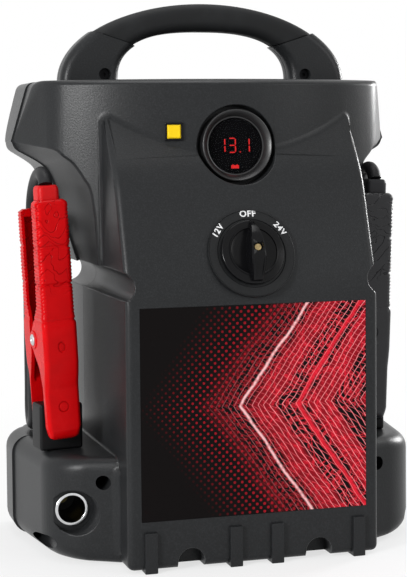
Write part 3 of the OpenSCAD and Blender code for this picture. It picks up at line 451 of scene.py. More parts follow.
def rounded(piece, width, segments=3, angle=40):
    """Rounds every edge that turns by more than angle."""
    return modifier(piece, "BEVEL", width=width * MM, segments=segments, limit_method="ANGLE", angle_limit=radians(angle), use_clamp_overlap=False)


def softened(piece, width, segments, where, concave=None, tidy=0.1):
    """Rounds the sharp edges whose middle, in millimetres, is where the part wants them round."""
    def pick():
        bpy.ops.mesh.select_all(action="DESELECT")
        mesh = bmesh.from_edit_mesh(piece.data)
        for edge in mesh.edges:
            if len(edge.link_faces) == 2 and edge.calc_face_angle(0) > radians(28) and concave in (None, not edge.is_convex):
                edge.select_set(where((edge.verts[0].co + edge.verts[1].co) / 2 / MM))
        bmesh.update_edit_mesh(piece.data)
    alone(piece)
    bpy.ops.object.mode_set(mode="EDIT")
    bpy.ops.mesh.select_mode(type="EDGE")
    pick()
    bpy.ops.mesh.dissolve_degenerate(threshold=tidy * MM)
    pick()
    bpy.ops.mesh.bevel(offset=width * MM, segments=segments, affect="EDGES", clamp_overlap=False)
    bpy.ops.mesh.select_all(action="SELECT")
    bpy.ops.object.mode_set(mode="OBJECT")
    return piece


def halved(piece, y, front):
    """Keeps the half of a piece in front of or behind a plane across Y, and closes it."""
    alone(piece)
    bpy.ops.object.mode_set(mode="EDIT")
    bpy.ops.mesh.select_all(action="SELECT")
    bpy.ops.mesh.bisect(plane_co=(0, y * MM, 0), plane_no=(0, 1, 0), use_fill=True, clear_outer=front, clear_inner=not front)
    bpy.ops.object.mode_set(mode="OBJECT")
    return piece


def dressed(piece, finish, body, slot, *nodes, smooth=32):
    """Shades a finished piece, paints it, ties it to its body and hides the CAD nodes that it stands for."""
    alone(piece)
    bpy.ops.object.mode_set(mode="EDIT")
    bpy.ops.mesh.select_all(action="SELECT")
    bpy.ops.mesh.vert_connect_concave()
    bpy.ops.object.mode_set(mode="OBJECT")
    bpy.ops.object.shade_smooth_by_angle(angle=radians(smooth))
    modifier(piece, "WEIGHTED_NORMAL", keep_sharp=True)
    piece.data.materials.clear()
    piece.data.materials.append(finish)
    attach(piece, body)
    if nodes:
        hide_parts(*nodes)
    return piece


# ---------------------------------------------------------------- outlines
def arc(cx, cy, r, a0, a1, steps):
    return [(cx + r * cos(radians(a0 + (a1 - a0) * i / steps)), cy + r * sin(radians(a0 + (a1 - a0) * i / steps))) for i in range(steps + 1)]


def both(half):
    """Both halves of an outline from its right half, listed anticlockwise."""
    return half + [(-x, y) for x, y in reversed(half) if x > 1e-6]


def inward(outline, d):
    """An anticlockwise outline with every side moved inwards by d."""
    points = [Vector(p) for p in outline]
    result = []
    for i, p in enumerate(points):
        u = (p - points[i - 1]).normalized()
        v = (points[(i + 1) % len(points)] - p).normalized()
        m, k = Vector((-u.y, u.x)), Vector((-v.y, v.x))
        result.append(tuple(p + d * (m + k) / (1 + m.dot(k))))
    return result


def eased(points, steps):
    """A smooth run through points, with steps pieces between each two."""
    ends = [points[0]] + list(points) + [points[-1]]
    run = []
    for i in range(1, len(ends) - 2):
        a, b, c, d = (Vector(ends[i + k]) for k in (-1, 0, 1, 2))
        for s in range(steps):
            t = s / steps
            run.append(tuple(0.5 * ((2 * b) + (c - a) * t + (2 * a - 5 * b + 4 * c - d) * t * t + (3 * b - a - 3 * c + d) * t ** 3)))
    return run + [tuple(points[-1])]


BEND_Z = 193 + 120 * sin(radians(20))
BEND_SET = 120 * (1 - cos(radians(20)))


def panel_set(z):
    """Setback of the leaning panel at height z."""
    return BEND_SET + (z - BEND_Z) * tan(radians(20))


BROW_R = 216
BROW_MID = 43 + BROW_R
TURN_A = degrees(asin(128 / BROW_R))
BAY_ON_BROW = [(-2.3, 0), (-11.8, -2.4), (-24.5, -5.6), (-31, -11), (-38, -17.4), (-45, -29), (-49, -36.5), (-51.5, -51), (-53, -67), (-54.5, -97)]
BAY_AT_PART = [(-1, 0), (-4, -5.5), (-14.5, -11.5), (-22, -16), (-27.8, -21), (-32.8, -30.5), (-35, -38), (-39.5, -54), (-44.5, -70), (-53, -97)]


def brow_plan():
    cx = 128 - 40 * sin(radians(TURN_A))
    cy = BROW_MID - BROW_R * cos(radians(TURN_A)) + 40 * cos(radians(TURN_A))
    return both(arc(0, BROW_MID, BROW_R, -90, TURN_A - 90, 26) + arc(cx, cy, 40, TURN_A - 88, 68 - 90, 9) + [(160, 139), (160, 179)])


def foot_plan():
    cx, cy = 124 - 48 * sin(radians(22.6)), 36 + 48 * cos(radians(22.6))
    return both([(0, 23), (100, 26)] + arc(cx, cy, 48, 22.6 - 90, 81.5 - 90, 14) + [(163, 139), (163, 179)])


def waist_plan():
    return both([(0, 0), (100, 0), (103.5, 139), (103.5, 179)])


def rear_plan(half_w):
    return both([(0, 99), (half_w, 99)] + arc(half_w - 34, 200 - 34, 34, 0, 90, 14) + [(0, 200)])


def panel_side():
    """Side view of the panel, as (setback, height)."""
    up = [(0, FLOOR_GAP), (0, 193)]
    up += [(120 * (1 - cos(radians(a))), 193 + 120 * sin(radians(a))) for a in range(2, 21, 2)]
    s = panel_set(283)
    up += [(s + 95 * (cos(radians(20)) - cos(radians(a))), 283 + 95 * (sin(radians(a)) - sin(radians(20)))) for a in range(20, 39, 2)]
    d, z = up[-1]
    up += [(d + (BODY_H - WALL - z) * tan(radians(38)), BODY_H - WALL), (179, BODY_H - WALL), (179, FLOOR_GAP)]
    return list(reversed(up))


# ---------------------------------------------------------------- local places
AT_GAUGE = shift(0, FACE_Y + 43, 319) @ turn(85, "X")
BUTTON_A = degrees(asin(49 / BROW_R))
AT_BUTTON = shift(-49, FACE_Y + BROW_MID - BROW_R * cos(radians(BUTTON_A)), 330) @ turn(-BUTTON_A, "Z") @ turn(90, "X")
AT_SELECTOR = shift(0, FACE_Y + panel_set(237), 237) @ turn(70, "X")
AT_SOCKET = shift(-132, FACE_Y + 55, 40) @ turn(90, "X")
AT_RED = shift(-137, CLAMP_Y, FOOT_Z) @ MIRROR_X @ turn(-8, "Z")
AT_BLACK = shift(120.5, CLAMP_Y, FOOT_Z) @ turn(-7, "Z")
AT_CLAMP = {"red": AT_RED @ turn(3, "Y"), "black": AT_BLACK @ turn(2, "Y")}


# ---------------------------------------------------------------- case
def brow_depth(x):
    """Depth of the brow's surface behind the panel face at x."""
    points = [(0, 43)] + [(px, d) for px, d in brow_plan() if px > 1]
    for (x0, d0), (x1, d1) in zip(points, points[1:]):
        if x0 <= x <= x1 and x1 > x0:
            return d0 + (d1 - d0) * (x - x0) / (x1 - x0)
    return 139


def bay_edge(out, depth):
    """The bay's upper edge at a depth, from the waist up to the shoulder's tip. It opens out towards the parting line."""
    edge = []
    for p, q in zip(reversed(eased(BAY_ON_BROW, 3)), reversed(eased(BAY_AT_PART, 3))):
        start = min(brow_depth(160 + p[0]), 130)
        share = min(max((depth - start) / (139 - start), 0), 1)
        edge.append((160 + out + p[0] + (q[0] - p[0]) * share, 322 + p[1] + (q[1] - p[1]) * share))
    return edge


def shoulder_front(out, depth):
    """Front view of the shoulders at a depth; the waist below is hidden in the panel block."""
    top = (160 + out) * 0.92 + 1 - 8
    return both([(95, FOOT_Z + 20), (95, 216)] + bay_edge(out, depth) + [(160 + out, 323.5)] + arc(top, BODY_H - 8, 8, 13, 90, 6))


def inset_by(outline, radii, share):
    """An outline moved inwards at each point by its own radius times share."""
    return [tuple(Vector(p) + r * share * (Vector(q) - Vector(p))) for p, q, r in zip(outline, inward(outline, 1), radii)]


def sliced(piece, places, axis=0):
    """Cuts a piece's faces along planes across an axis, so that it can be curved."""
    alone(piece)
    bpy.ops.object.mode_set(mode="EDIT")
    for place in places:
        way = [0, 0, 0]
        way[axis] = 1
        bpy.ops.mesh.select_all(action="SELECT")
        bpy.ops.mesh.bisect(plane_co=[w * place * MM for w in way], plane_no=way)
    bpy.ops.mesh.select_all(action="SELECT")
    bpy.ops.mesh.remove_doubles(threshold=1e-5)
    bpy.ops.mesh.normals_make_consistent(inside=False)
    bpy.ops.object.mode_set(mode="OBJECT")
    return piece


def shoulder_solid(rim, bay_rim):
    """The shoulders with their rim rolled over: made flat, then curved to the brow's plan."""
    face, part = shoulder_front(0, 20), shoulder_front(0, 139)
    radii = [0 if abs(x) > 158 and z > 323 and z < 350 else rim if z > 350 else bay_rim for x, z in face]
    rings = []
    for k in range(6):
        a = radians(18 * k)
        ring = []
        for (x, z), r in zip(inset_by(face, radii, 1 - sin(a)), radii):
            room = max(139 - brow_depth(min(abs(x), 160)), 12)
            ring.append((x, r * (1 - cos(a)) * 139 / room, z))
        rings.append(ring)
    rings += [[(x, y, z) for x, z in part] for y in (139, 179)]
    flat = sliced(loft("shoulders", rings), range(-156, 157, 4))
    for vertex in flat.data.vertices:
        x, y, z = vertex.co / MM
        depth = brow_depth(min(abs(x), 160))
        if y < 139:
            y = depth + y * (139 - depth) / 139
        vertex.co = Vector((x, y + FACE_Y, z)) * MM
    return flat


def foot_solid(front_r, side_r, under_r, wall=0):
    """The feet with a soft roll along their top and under their sides."""
    plan = foot_plan()
    share = [min(max((abs(x) - 110) / 43, 0), 1) for x, _ in plan]
    return rolled_foot(plan, [front_r + (side_r - front_r) * s for s in share], [4 + (under_r - 4) * s for s in share], wall)


def shoulder_block(inset):
    depths = [20, 55, 70, 85, 100, 113, 126, 139, 179]
    rings = [[(x, FACE_Y + d, z) for x, z in inward(shoulder_front(0, d), inset)] for d in depths]
    return shared(loft("shoulders", rings), upright("brow", inward(brow_plan(), inset), 50, 400))


def panel_block(inset):
    return shared(along_x("panel", inward(panel_side(), inset), -150, 150), upright("waist", inward(waist_plan(), inset), -20, 400))


def ribs(rear):
    """The four skid ribs up one side, each turned under the body."""
    made = []
    for x in (-83, -16.5, 16.5, 83):
        rib = rounded(along_x("rib", [(-3, 0), (27, 0), (27, 4.5), (2.5, 4.5), (2.5, 31), (-3, 31)], x - 5, x + 5), 0.8, 2)
        made.append(moved(rib, shift(0, BACK_Y + FACE_Y, 0) @ Matrix.Diagonal((1, -1, 1, 1))) if rear else rib)
    return made


BODY_SCREWS = [(s * x, z) for s in (-1, 1) for x, z in ((112, 64), (150, 13.5))]
CABLE_EXITS = (-120, 112.6)


def across_y(name, r, x, z, y0, y1, steps=48):
    """A cylinder along Y."""
    return moved(drum(name, r, -y1, -y0, steps), shift(x, 0, z) @ turn(90, "X") @ turn(1.7, "Z"))


def from_axis(point, axis_place):
    """Distance of a point from a local Z axis, and its height along it, in millimetres."""
    local = axis_place.inverted() @ (point * MM) / MM
    return hypot(local.x, local.y), local.z


def case_front(rim, crease):
    body = rounded(panel_block(0), 5, 4)
    joined(body, shoulder_solid(rim, 2.2), foot_solid(8, 14, 16))
    tools = [across_y("groove", 11, s * 103.5, 215, FACE_Y - 9, BACK_Y) for s in (-1, 1)]
    for s in (-1, 1):
        tools += [across_y("recess", 10.5, s * 51, 6, FACE_Y - 5, FACE_Y + 17), block("recess", (s * 51 - 10.48, FACE_Y - 5.5, -5), (s * 51 + 10.48, FACE_Y + 16.5, 6))]
    tools += [moved(drum("pocket", 31.5, -12, 60, 128), AT_GAUGE), moved(drum("can", 25.3, -16, -6, 64), AT_GAUGE)]
    tools += [across_y("socket_recess", 17, -132, 40, FACE_Y - 9, FACE_Y + 55, 96), across_y("barrel", 11.8, -132, 40, FACE_Y + 50, FACE_Y + 66)]
    tools += [across_y("well", 5.5, x, z, FACE_Y - 9, PART_Y - 13, 32) for x, z in BODY_SCREWS]
    tools += [across_y("shank", 2.5, x, z, PART_Y - 20, PART_Y + 9, 24) for x, z in BODY_SCREWS]
    tools += [block("label_seat", (-89.8, FACE_Y - 3, 38.7), (89.8, FACE_Y + 0.6, 199.3)), moved(drum("bush", 7, -9, 9, 48), AT_SELECTOR)]
    tools += [moved(block("button", (-6.5, -6.5, -9), (6.5, 6.5, 9)), AT_BUTTON)]
    tools += [moved(drum("gland", 7, 60, 90, 48), shift(x, PART_Y, 0)) for x in CABLE_EXITS]
    # inside, with room left round the pockets, wells and recesses
    hollow = joined(panel_block(WALL), shoulder_block(WALL), foot_solid(8, 14, 16, WALL))
    keep = [moved(drum("cup", 34.5, -15, 60, 64), AT_GAUGE), across_y("socket_cup", 20, -132, 40, FACE_Y - 9, FACE_Y + 63)]
    keep += [across_y("boss", 8, x, z, FACE_Y - 9, PART_Y + 1, 32) for x, z in BODY_SCREWS]
    keep += [across_y("groove_wall", 14, s * 103.5, 215, FACE_Y - 9, BACK_Y) for s in (-1, 1)]
    keep += [across_y("recess_wall", 13.5, s * 51, 6, FACE_Y - 9, FACE_Y + 20) for s in (-1, 1)]
    cut(body, cut(hollow, *keep), *tools)
    halved(body, PART_Y - 0.5, True)
    softened(body, 3.5, 4, on_brow_crease, True)
    softened(body, 2.5, 3, lambda p: FACE_Y + 60 < p.y < PART_Y - 8 and 228 < p.z < 268 and abs(abs(p.x) - 103) < 3, True)
    softened(body, 6, 4, lambda p: p.y < PART_Y - 90 and 8 < p.z < 76 and abs(abs(p.x) - 100.7) < 1.5, True)
    softened(body, 2, 3, lambda p: p.y < PART_Y - 6 and 79 < p.z < 87 and abs(abs(p.x) - 102.5) < 3, True)
    softened(body, crease, 3, lambda p: abs(hypot(abs(p.x) - 103.5, p.z - 215) - 11) < 0.4 and p.y < PART_Y - 3, False)
    softened(body, crease, 3, lambda p: p.y < FACE_Y + 2 and p.z < 20 and abs(abs(p.x) - 51) < 11, False)
    softened(body, crease, 3, lambda p: abs(from_axis(p, AT_GAUGE)[0] - 31.5) < 0.4 and from_axis(p, AT_GAUGE)[1] > -10, False)
    softened(body, crease, 3, lambda p: abs(hypot(p.x + 132, p.z - 40) - 17) < 0.4 and p.y < FACE_Y + 50, False)
    return merged("case_front", [body] + ribs(False))


def on_brow_crease(p):
    """True near the line where the brow runs into the panel, and down the panel's sides."""
    if from_axis(p, AT_GAUGE)[0] < 32 or hypot(abs(p.x) - 103.5, p.z - 215) < 11.5:
        return False
    on_face = abs(p.y - FACE_Y - brow_depth(min(abs(p.x), 160))) < 1.5
    return 228 < p.z < 362 and p.y < PART_Y - 6 and on_face


def back_depth(x):
    """Depth of the rear shoulders' surface behind the panel face at x."""
    round_x = max(abs(x) - 127.5, 0)
    return 166 + max(34 ** 2 - round_x ** 2, 0) ** 0.5


def rear_shoulder_solid(rim, bay_rim):
    """The rear of the shoulders, made flat and then curved to its plan."""
    face = shoulder_front(1.5, 139)
    radii = [0 if abs(x) > 158 and 323 < z < 350 else rim if z > 350 else bay_rim for x, z in face]
    rings = [[(x, y, z) for x, z in face] for y in (-40, 0)]
    for k in range(6):
        a = radians(18 * k)
        rings.append([(x, 61 - r * (1 - sin(a)) * 61 / max(back_depth(x) - 139, 20), z) for (x, z), r in zip(inset_by(face, radii, 1 - cos(a)), radii)])
    bends = [127.5 + 34 * sin(radians(a)) for a in range(0, 86, 9)]
    flat = sliced(loft("rear", rings), [-x for x in reversed(bends)] + bends)
    for vertex in flat.data.vertices:
        x, y, z = vertex.co / MM
        if y > 0:
            y *= (back_depth(x) - 139.04) / 61
        vertex.co = Vector((x, y + PART_Y, z)) * MM
    return flat


def rear_foot_solid(top_r, side_r, under_r, wall=0):
    plan = [(x, d - 0.07) for x, d in rear_plan(164.5)]
    share = [1 if abs(x) > 150 else 0.5 if abs(x) > 131 else 0 for x, _ in plan]
    top = [top_r + (side_r - top_r) * s for s in share]
    under = [4 + (under_r - 4) * s for s in share]
    return rolled_foot(plan, top, under, wall)


def rolled_foot(plan, top, under, wall):
    """A foot through its plan, or the hollow inside its wall, rolled in at the top and the bottom by each point's own radius."""
    plan = inward(plan, wall) if wall else plan
    low, high, top, under = FLOOR_GAP + wall, FOOT_Z - wall, [r - wall for r in top], [r - wall for r in under]
    rings = []
    for k in range(8):
        h = low + max(under) * (1 - cos(pi / 2 * k / 7))
        rings.append((h, [r - max(r * r - max(low + r - h, 0) ** 2, 0) ** 0.5 for r in under]))
    for k in range(8):
        h = high - max(top) * (1 - sin(pi / 2 * k / 7))
        rings.append((h, [r - max(r * r - max(h - high + r, 0) ** 2, 0) ** 0.5 for r in top]))
    return loft("feet", [[(x, FACE_Y + d, h) for x, d in inset_by(plan, inset, 1)] for h, inset in rings])


def case_rear(rim, crease):
    y0 = PART_Y - 40
    body = rounded(block("rear_waist", (-103.5, y0, FLOOR_GAP), (103.5, BACK_Y, 260)), 2, 2)
    joined(body, rear_shoulder_solid(rim, 2.2), rear_foot_solid(6, 14, 16))
    tools = [across_y("groove", 11, s * 103.5, 215, FACE_Y, BACK_Y + 9) for s in (-1, 1)]
    tools += [across_y("shank", 2.3, x, z, PART_Y - 9, PART_Y + 30, 24) for x, z in BODY_SCREWS]
    tools += [moved(drum("gland", 7, 60, 90, 48), shift(x, PART_Y, 0)) for x in CABLE_EXITS]
    hollow = shared(along_y("rear_in", inward(shoulder_front(1.5, 139), WALL), y0 - 5, BACK_Y), upright("rear_in_plan", inward(rear_plan(161.5), WALL), 50, 400))
    joined(hollow, rear_foot_solid(6, 14, 16, WALL), block("waist_in", (-100.5, y0 - 5.5, 5.2), (100.5, BACK_Y - WALL - 0.1, 250)))
    keep = [across_y("groove_wall", 14, s * 103.5, 215, FACE_Y, BACK_Y) for s in (-1, 1)]
    keep += [across_y("boss", 4.7, x, z, PART_Y - 60, BACK_Y, 32) for x, z in BODY_SCREWS]
    cut(body, cut(hollow, *keep), *tools)
    halved(body, PART_Y, False)
    softened(body, 3, 3, lambda p: PART_Y + 6 < p.y < BACK_Y - 4 and 228 < p.z < 266 and abs(abs(p.x) - 103) < 3, True)
    softened(body, 2, 3, lambda p: PART_Y + 6 < p.y < BACK_Y - 3 and 79 < p.z < 87 and abs(abs(p.x) - 102.5) < 3, True)
    softened(body, crease, 3, lambda p: abs(hypot(abs(p.x) - 103.5, p.z - 215) - 11) < 0.4 and p.y > PART_Y + 3, False)
    return merged("case_rear", [body] + ribs(True))


# ---------------------------------------------------------------- handle
def handle_arch(name, shrink, radius, half_d):
    """The handle's arch, all round smaller by shrink, on the parting line."""
    def run(a, b, n):
        points = []
        for i in range(65):
            t = pi * i / 64
            points.append((a * (1 if cos(t) >= 0 else -1) * abs(cos(t)) ** (2 / n), BODY_H + b * sin(t) ** (2 / n)))
        return points
    outer = run(122 - shrink, 66 - shrink, 2)
    inner = list(reversed(run(74 + shrink, 40 + shrink, 2.6)))
    outline = [(122 - shrink, BODY_H - 12)] + outer + [(shrink - 122, BODY_H - 12), (-74 - shrink, BODY_H - 12)] + inner + [(74 + shrink, BODY_H - 12)]
    arch = rounded(along_y(name, outline, PART_Y - half_d, PART_Y + half_d), radius, 4, 50)
    alone(arch)
    bpy.ops.object.mode_set(mode="EDIT")
    bpy.ops.mesh.select_all(action="SELECT")
    bpy.ops.mesh.bisect(plane_co=(0, 0, BODY_H * MM), plane_no=(0, 0, 1), use_fill=True, clear_inner=True)
    bpy.ops.object.mode_set(mode="OBJECT")
    return arch


def above_slopes(gap):
    """A wedge that holds the part of the arch between the grip's two sloping ends."""
    c, s = 400 * cos(radians(18)), 400 * sin(radians(18))
    z = BODY_H + 10 + gap
    return along_y("wedge", [(0, z), (c, z + s), (c, z + 400), (-c, z + 400), (-c, z + s)], -200, 300)


def handle_half(front):
    half = handle_arch("handle", 0, 8, 14)
    cut(half, above_slopes(0))
    joined(half, handle_arch("core", 4, 5, 10))
    cut(half, *[across_y("hole", r, s * 86, BODY_H + 6, PART_Y - 60, PART_Y + end, 32) for s in (-1, 1) for r, end in ((5, -6), (2.3, 11))])
    halved(half, PART_Y, front)
    return softened(half, 0.6, 2, lambda p: abs(p.y - PART_Y) < 0.1 and p.z < BODY_H + 45 and (abs(p.x) > 60 or p.z > BODY_H + 30))


def handle_grip():
    grip = shared(handle_arch("grip", 1.5, 8.3, 12.6), above_slopes(0.3))
    rounded(grip, 0.8, 2, 50)
    return cut(grip, handle_arch("grip_core", 3.9, 5, 10.1))


# ---------------------------------------------------------------- gauge, button, selector and socket
SEGMENTS = {"0": "abcdef", "1": "bc", "2": "abged", "3": "abgcd", "4": "fgbc", "5": "afgcd", "6": "afgcde", "7": "abc", "8": "abcdefg", "9": "abcdfg"}


def bar(name, x0, y0, x1, y1, width, z0, z1):
    """A flat bar with pointed ends from one point to another."""
    along = Vector((x1 - x0, y1 - y0))
    u = along.normalized() * width / 2
    n = Vector((-u.y, u.x))
    a, b = Vector((x0, y0)), Vector((x1, y1))
    outline = [a, a + u - n, b - u - n, b, b - u + n, a + u + n]
    return loft(name, [[(p.x, p.y, z) for p in outline] for z in (z0, z1)])


def merged(name, pieces):
    """Several pieces as one object."""
    alone(pieces[0])
    for piece in pieces[1:]:
        piece.select_set(True)
    bpy.ops.object.join()
    pieces[0].name = name
    return pieces[0]


def gauge_digits(reading, height):
    """The lit number and a small battery sign under it, on the display."""
    z0, z1 = -6.55, -6.3
    w, h, pitch = height * 0.48, height, height * 0.78
    width = sum(pitch if c != "." else pitch * 0.32 for c in reading)
    x, bars = -width / 2 + pitch * 0.14, []
    ends = {"a": (0, h, w, h), "b": (w, h, w, h / 2), "c": (w, h / 2, w, 0), "d": (0, 0, w, 0), "e": (0, h / 2, 0, 0), "f": (0, h, 0, h / 2), "g": (0, h / 2, w, h / 2)}
    for c in reading:
        if c == ".":
            bars.append(bar("dot", x - 0.1, 0.3, x + 1.1, 0.3, 1.2, z0, z1))
            x += pitch * 0.32
            continue
        for s in SEGMENTS[c]:
            x0, y0, x1, y1 = ends[s]
            k = 0.35 / hypot(x1 - x0, y1 - y0)
            dx, dy = (x1 - x0) * k, (y1 - y0) * k
            bars.append(bar("segment", x + x0 + dx, y0 + dy, x + x1 - dx, y1 - dy, 0.9, z0, z1))
        x += pitch
    for piece in bars:
        moved(piece, shift(0, -h / 2 + 0.5, 0))
    sign = block("sign", (-3.1, -17.6, z0), (3.1, -15.2, z1))
    bars += [sign, block("sign_post", (-2.3, -15.3, z0), (-1, -14.6, z1)), block("sign_post", (1, -15.3, z0), (2.3, -14.6, z1))]
    return moved(merged("gauge_digits", bars), AT_GAUGE)


def gauge_ring():
    top = 14.5
    profile = [(22, 0), (28.2, 0), (28.2, top - 0.9)] + arc(27.3, top - 0.9, 0.9, 0, 90, 4)[1:]
    profile += [(26.6, top - 0.5), (25.4, top - 1.7), (24.2, top - 3.2), (23.3, top - 5), (22.9, 8.4), (22.1, 8.2)]
    return moved(lathe("gauge_ring", profile, 128), AT_GAUGE @ shift(0, 0, -12))


def gauge_window():
    profile = [(0, -6.1), (21.85, -6.1), (21.85, -4.3), (14, -4.0), (0, -3.9)]
    return moved(lathe("gauge_window", profile, 96), AT_GAUGE)


def square(side, z0, z1, name="square"):
    return block(name, (-side / 2, -side / 2, z0), (side / 2, side / 2, z1))


def button_frame():
    frame_piece = joined(square(12.7, -7, 1.5), square(14, 0.02, 2.0))
    rounded(frame_piece, 0.4, 3, 50)
    cut(frame_piece, square(11.2, -9, 9))
    return moved(rounded(frame_piece, 0.25, 2, 60), AT_BUTTON)


def button_cap():
    cap = loft("button_cap", [[(x * s, y * s, z) for x, y in ((-1, -1), (1, -1), (1, 1), (-1, 1))] for s, z in ((5.3, -4.5), (5.3, 1.9), (4.5, 2.95))])
    rounded(cap, 0.35, 3, 30)
    return moved(joined(cap, drum("stem", 1.8, -9.5, -4, 24)), AT_BUTTON)


def dial_disc():
    profile = [(5, 0), (34.5, 0), (34.5, 1.8), (34.3, 2.35), (34, 2.45), (33.7, 2.3), (33.5, 2.0), (27.2, 2.0), (26.6, 1.5), (5, 1.5)]
    return moved(lathe("dial_disc", profile, 128), AT_SELECTOR)


def lettering(name, text, angle, radius, height):
    """Raised letters that face outwards from the selector at an angle, clockwise from the top."""
    bpy.ops.object.select_all(action="DESELECT")
    bpy.ops.object.text_add()
    letters = bpy.context.active_object
    letters.data.body = text
    letters.data.align_x = "CENTER"
    letters.data.align_y = "CENTER"
    letters.data.size = height / MM
    letters.data.offset = 0.18
    letters.data.extrude = 0.06
    letters.data.space_character = 1.12
    bpy.ops.object.convert(target="MESH")
    letters = bpy.context.active_object
    letters.name = name
    letters.data.transform(Matrix.Diagonal((MM, MM, MM, 1)))
    return moved(letters, AT_SELECTOR, turn(-angle, "Z"), shift(0, radius, 2.08))


def knob():
    base = 2.8
    profile = [(0, base), (25, base), (25, base + 2.2)] + arc(23.6, base + 2.2, 1.4, 0, 80, 5)[1:]
    profile += [(19.6, base + 4.0), (19.2, base + 4.9), (18.4, base + 5.0), (17.9, base + 4.2), (15, base + 3.7), (0, base + 3.5)]
    body = moved(lathe("knob", profile, 128), turn(1.1, "Z"))
    leaf = eased([(0.7, 24), (1.9, 20), (3.8, 14), (5.6, 7), (6.5, 0), (6.4, -8), (5.4, -15), (4.4, -21), (3.9, -23.4)], 3)
    rings = []
    for share, shrink in ((-0.3, 0), (0.55, 0.3), (0.88, 0.7), (0.97, 1.3), (1, 2.4)):
        right = [(max(x - shrink * x / 6.5, 0.2), y * (1 - 0.012 * shrink), base + 4 + share * (13.4 * max(1 - (abs(y) / 26) ** 2.6, 0.0) + 0.4)) for x, y in leaf]
        rings.append(list(reversed(right)) + [(-x, y, z) for x, y, z in right])
    joined(body, loft("ridge", rings))
    cut(body, moved(drum("screw_well", 3.3, base + 10, 40, 48), turn(0.7, "Z")), moved(drum("shaft_hole", 4.02, 0, base + 9.9, 48), turn(0.7, "Z")))
    return moved(body, AT_SELECTOR)


def knob_screw():
    screw = lathe("knob_brass_screw", [(0, 12.9), (3.0, 12.9), (3.0, 17.6), (2.5, 18.4), (0, 18.8)], 48)
    cut(screw, block("slot", (-4, -0.45, 18.2), (4, 0.45, 22)))
    return moved(rounded(screw, 0.12, 2, 50), AT_SELECTOR, turn(35, "Z"))


def socket_tube():
    r, out = 10.5, 11.7
    profile = [(r, -42), (out, -42), (out, 0), (out + 1.3, 0)] + arc(out + 0.7, 0.6, 0.6, 0, 90, 4)[1:] + [(out, 1.2)] + arc(r + 0.5, 0.7, 0.5, 90, 180, 4)
    return moved(lathe("socket_tube", profile, 96), AT_SOCKET)


# ---------------------------------------------------------------- clamps
def lever_ring(z, front, back, w, r, side):
    """A cross-section of a lever with rounded outer corners; side is -1 for the front lever and 1 for the rear one."""
    pts = [(w, back)] + [(w - r + r * cos(radians(a)), front + side * (-r) + side * r * sin(radians(a))) for a in (0, 18, 36, 54, 72, 90)]
    ring = [(x, y, z) for x, y in pts]
    return ring + [(-x, y, z) for x, y, z in reversed(ring)]


def between(table, z):
    for (z0, v0), (z1, v1) in zip(table, table[1:]):
        if z <= z1:
            return v0 + (v1 - v0) * max(z - z0, 0) / (z1 - z0)
    return table[-1][1]


FRONT_FACE = [(10, -20.5), (17, -23), (50, -22.2), (62, -25.2), (70, -26.5), (98, -26.5), (106, -25), (196, -25)]
FRONT_BACK = [(10, -15), (51, -15), (66, -9), (76, 1), (81, 5), (93, 5), (100, -1), (114, -10), (196, -13)]
REAR_FACE = [(12, 17.5), (40, 17), (53, 18.5), (67, 25), (88, 26), (105, 25), (188, 25)]
REAR_BACK = [(12, 15.6), (51, 15.5), (66, 11), (75, 8), (101, 8), (114, 14), (188, 15)]
WIDTH = [(10, 11), (20, 13.6), (100, 14), (106, 13.6), (190, 13.4), (196, 13)]
GROOVES = (160, 131, 103)


def lever(name, face, back, side, z0, z1, ribs_count):
    """A clamp lever: a deep rounded channel with a ribbed edge and joints across its handle."""
    stations = []
    z = z0
    while z < z1 - 0.01:
        stations.append(z)
        z += 0.7 if 104 < z < 192 else 1.5
    stations.append(z1)
    pitch = (190 - 106) / ribs_count

    def outer(z):
        f, b, w = between(face, z), between(back, z), between(WIDTH, z)
        near = min(abs(z - g) for g in GROOVES)
        dent = 0.9 * max(0, 1 - near / 1.6)
        end = 2.5 * max(0, 1 - min(z - z0, z1 - z) / 3) ** 2
        bulge = 0.5 * sin(pi * min(max((z - 131) / 29, 0), 1)) if z < 160 else 0.4 * sin(pi * min((z - 160) / 36, 1))
        ridge = 0.7 * (1 + cos(2 * pi * (z - 106) / pitch)) / 2 if 106 < z < 190 else 0
        return f - side * (dent + end - bulge), b, w - dent * 0.9 - end - ridge
    rings = []
    for z in stations:
        f, b, w = outer(z)
        rings.append(lever_ring(z, f, b, w, min(4, abs(f - b) * 0.45), side))
    body = loft(name, rings)
    inner = []
    z = z0 + 6
    while z <= z1 - 3:
        f, b = between(face, z), between(back, z)
        inner.append(lever_ring(z, f - side * 3, b - side * 12, between(WIDTH, z) - 3, 2, side))
        z += 4
    cut(body, loft("channel", inner))
    return body


def front_lever(ribs_count):
    body = lever("front_lever", FRONT_FACE, FRONT_BACK, -1, 10, 196, ribs_count)
    boss = [(0, 10.9), (7.5, 10.9), (7.5, 14.2), (6.8, 14.7), (0, 14.7)]
    joined(body, *[moved(lathe("ear_boss", boss, 48), shift(0, 0, 87) @ turn(s * 90, "Y")) for s in (-1, 1)])
    # the pin's hole, and a round mark and a small oval one pressed into the cover
    tools = [moved(drum("pin_hole", 3.02, -30, 30, 32), shift(0, 0, 87) @ turn(90, "Y"))]
    for z, r, tall, reach in ((36, 3.4, 1, 1), (83, 2.0, 1.5, 1.19)):
        mark = lathe("mark", [(r, -30), (r + 0.9, -30), (r + 0.9, -21.4), (r, -21.4)], 40)
        tools.append(moved(mark, shift(0, 0, z) @ turn(90, "X") @ Matrix.Diagonal((1, tall, -reach, 1))))
    cut(body, *tools)
    return rounded(body, 0.35, 2, 50)


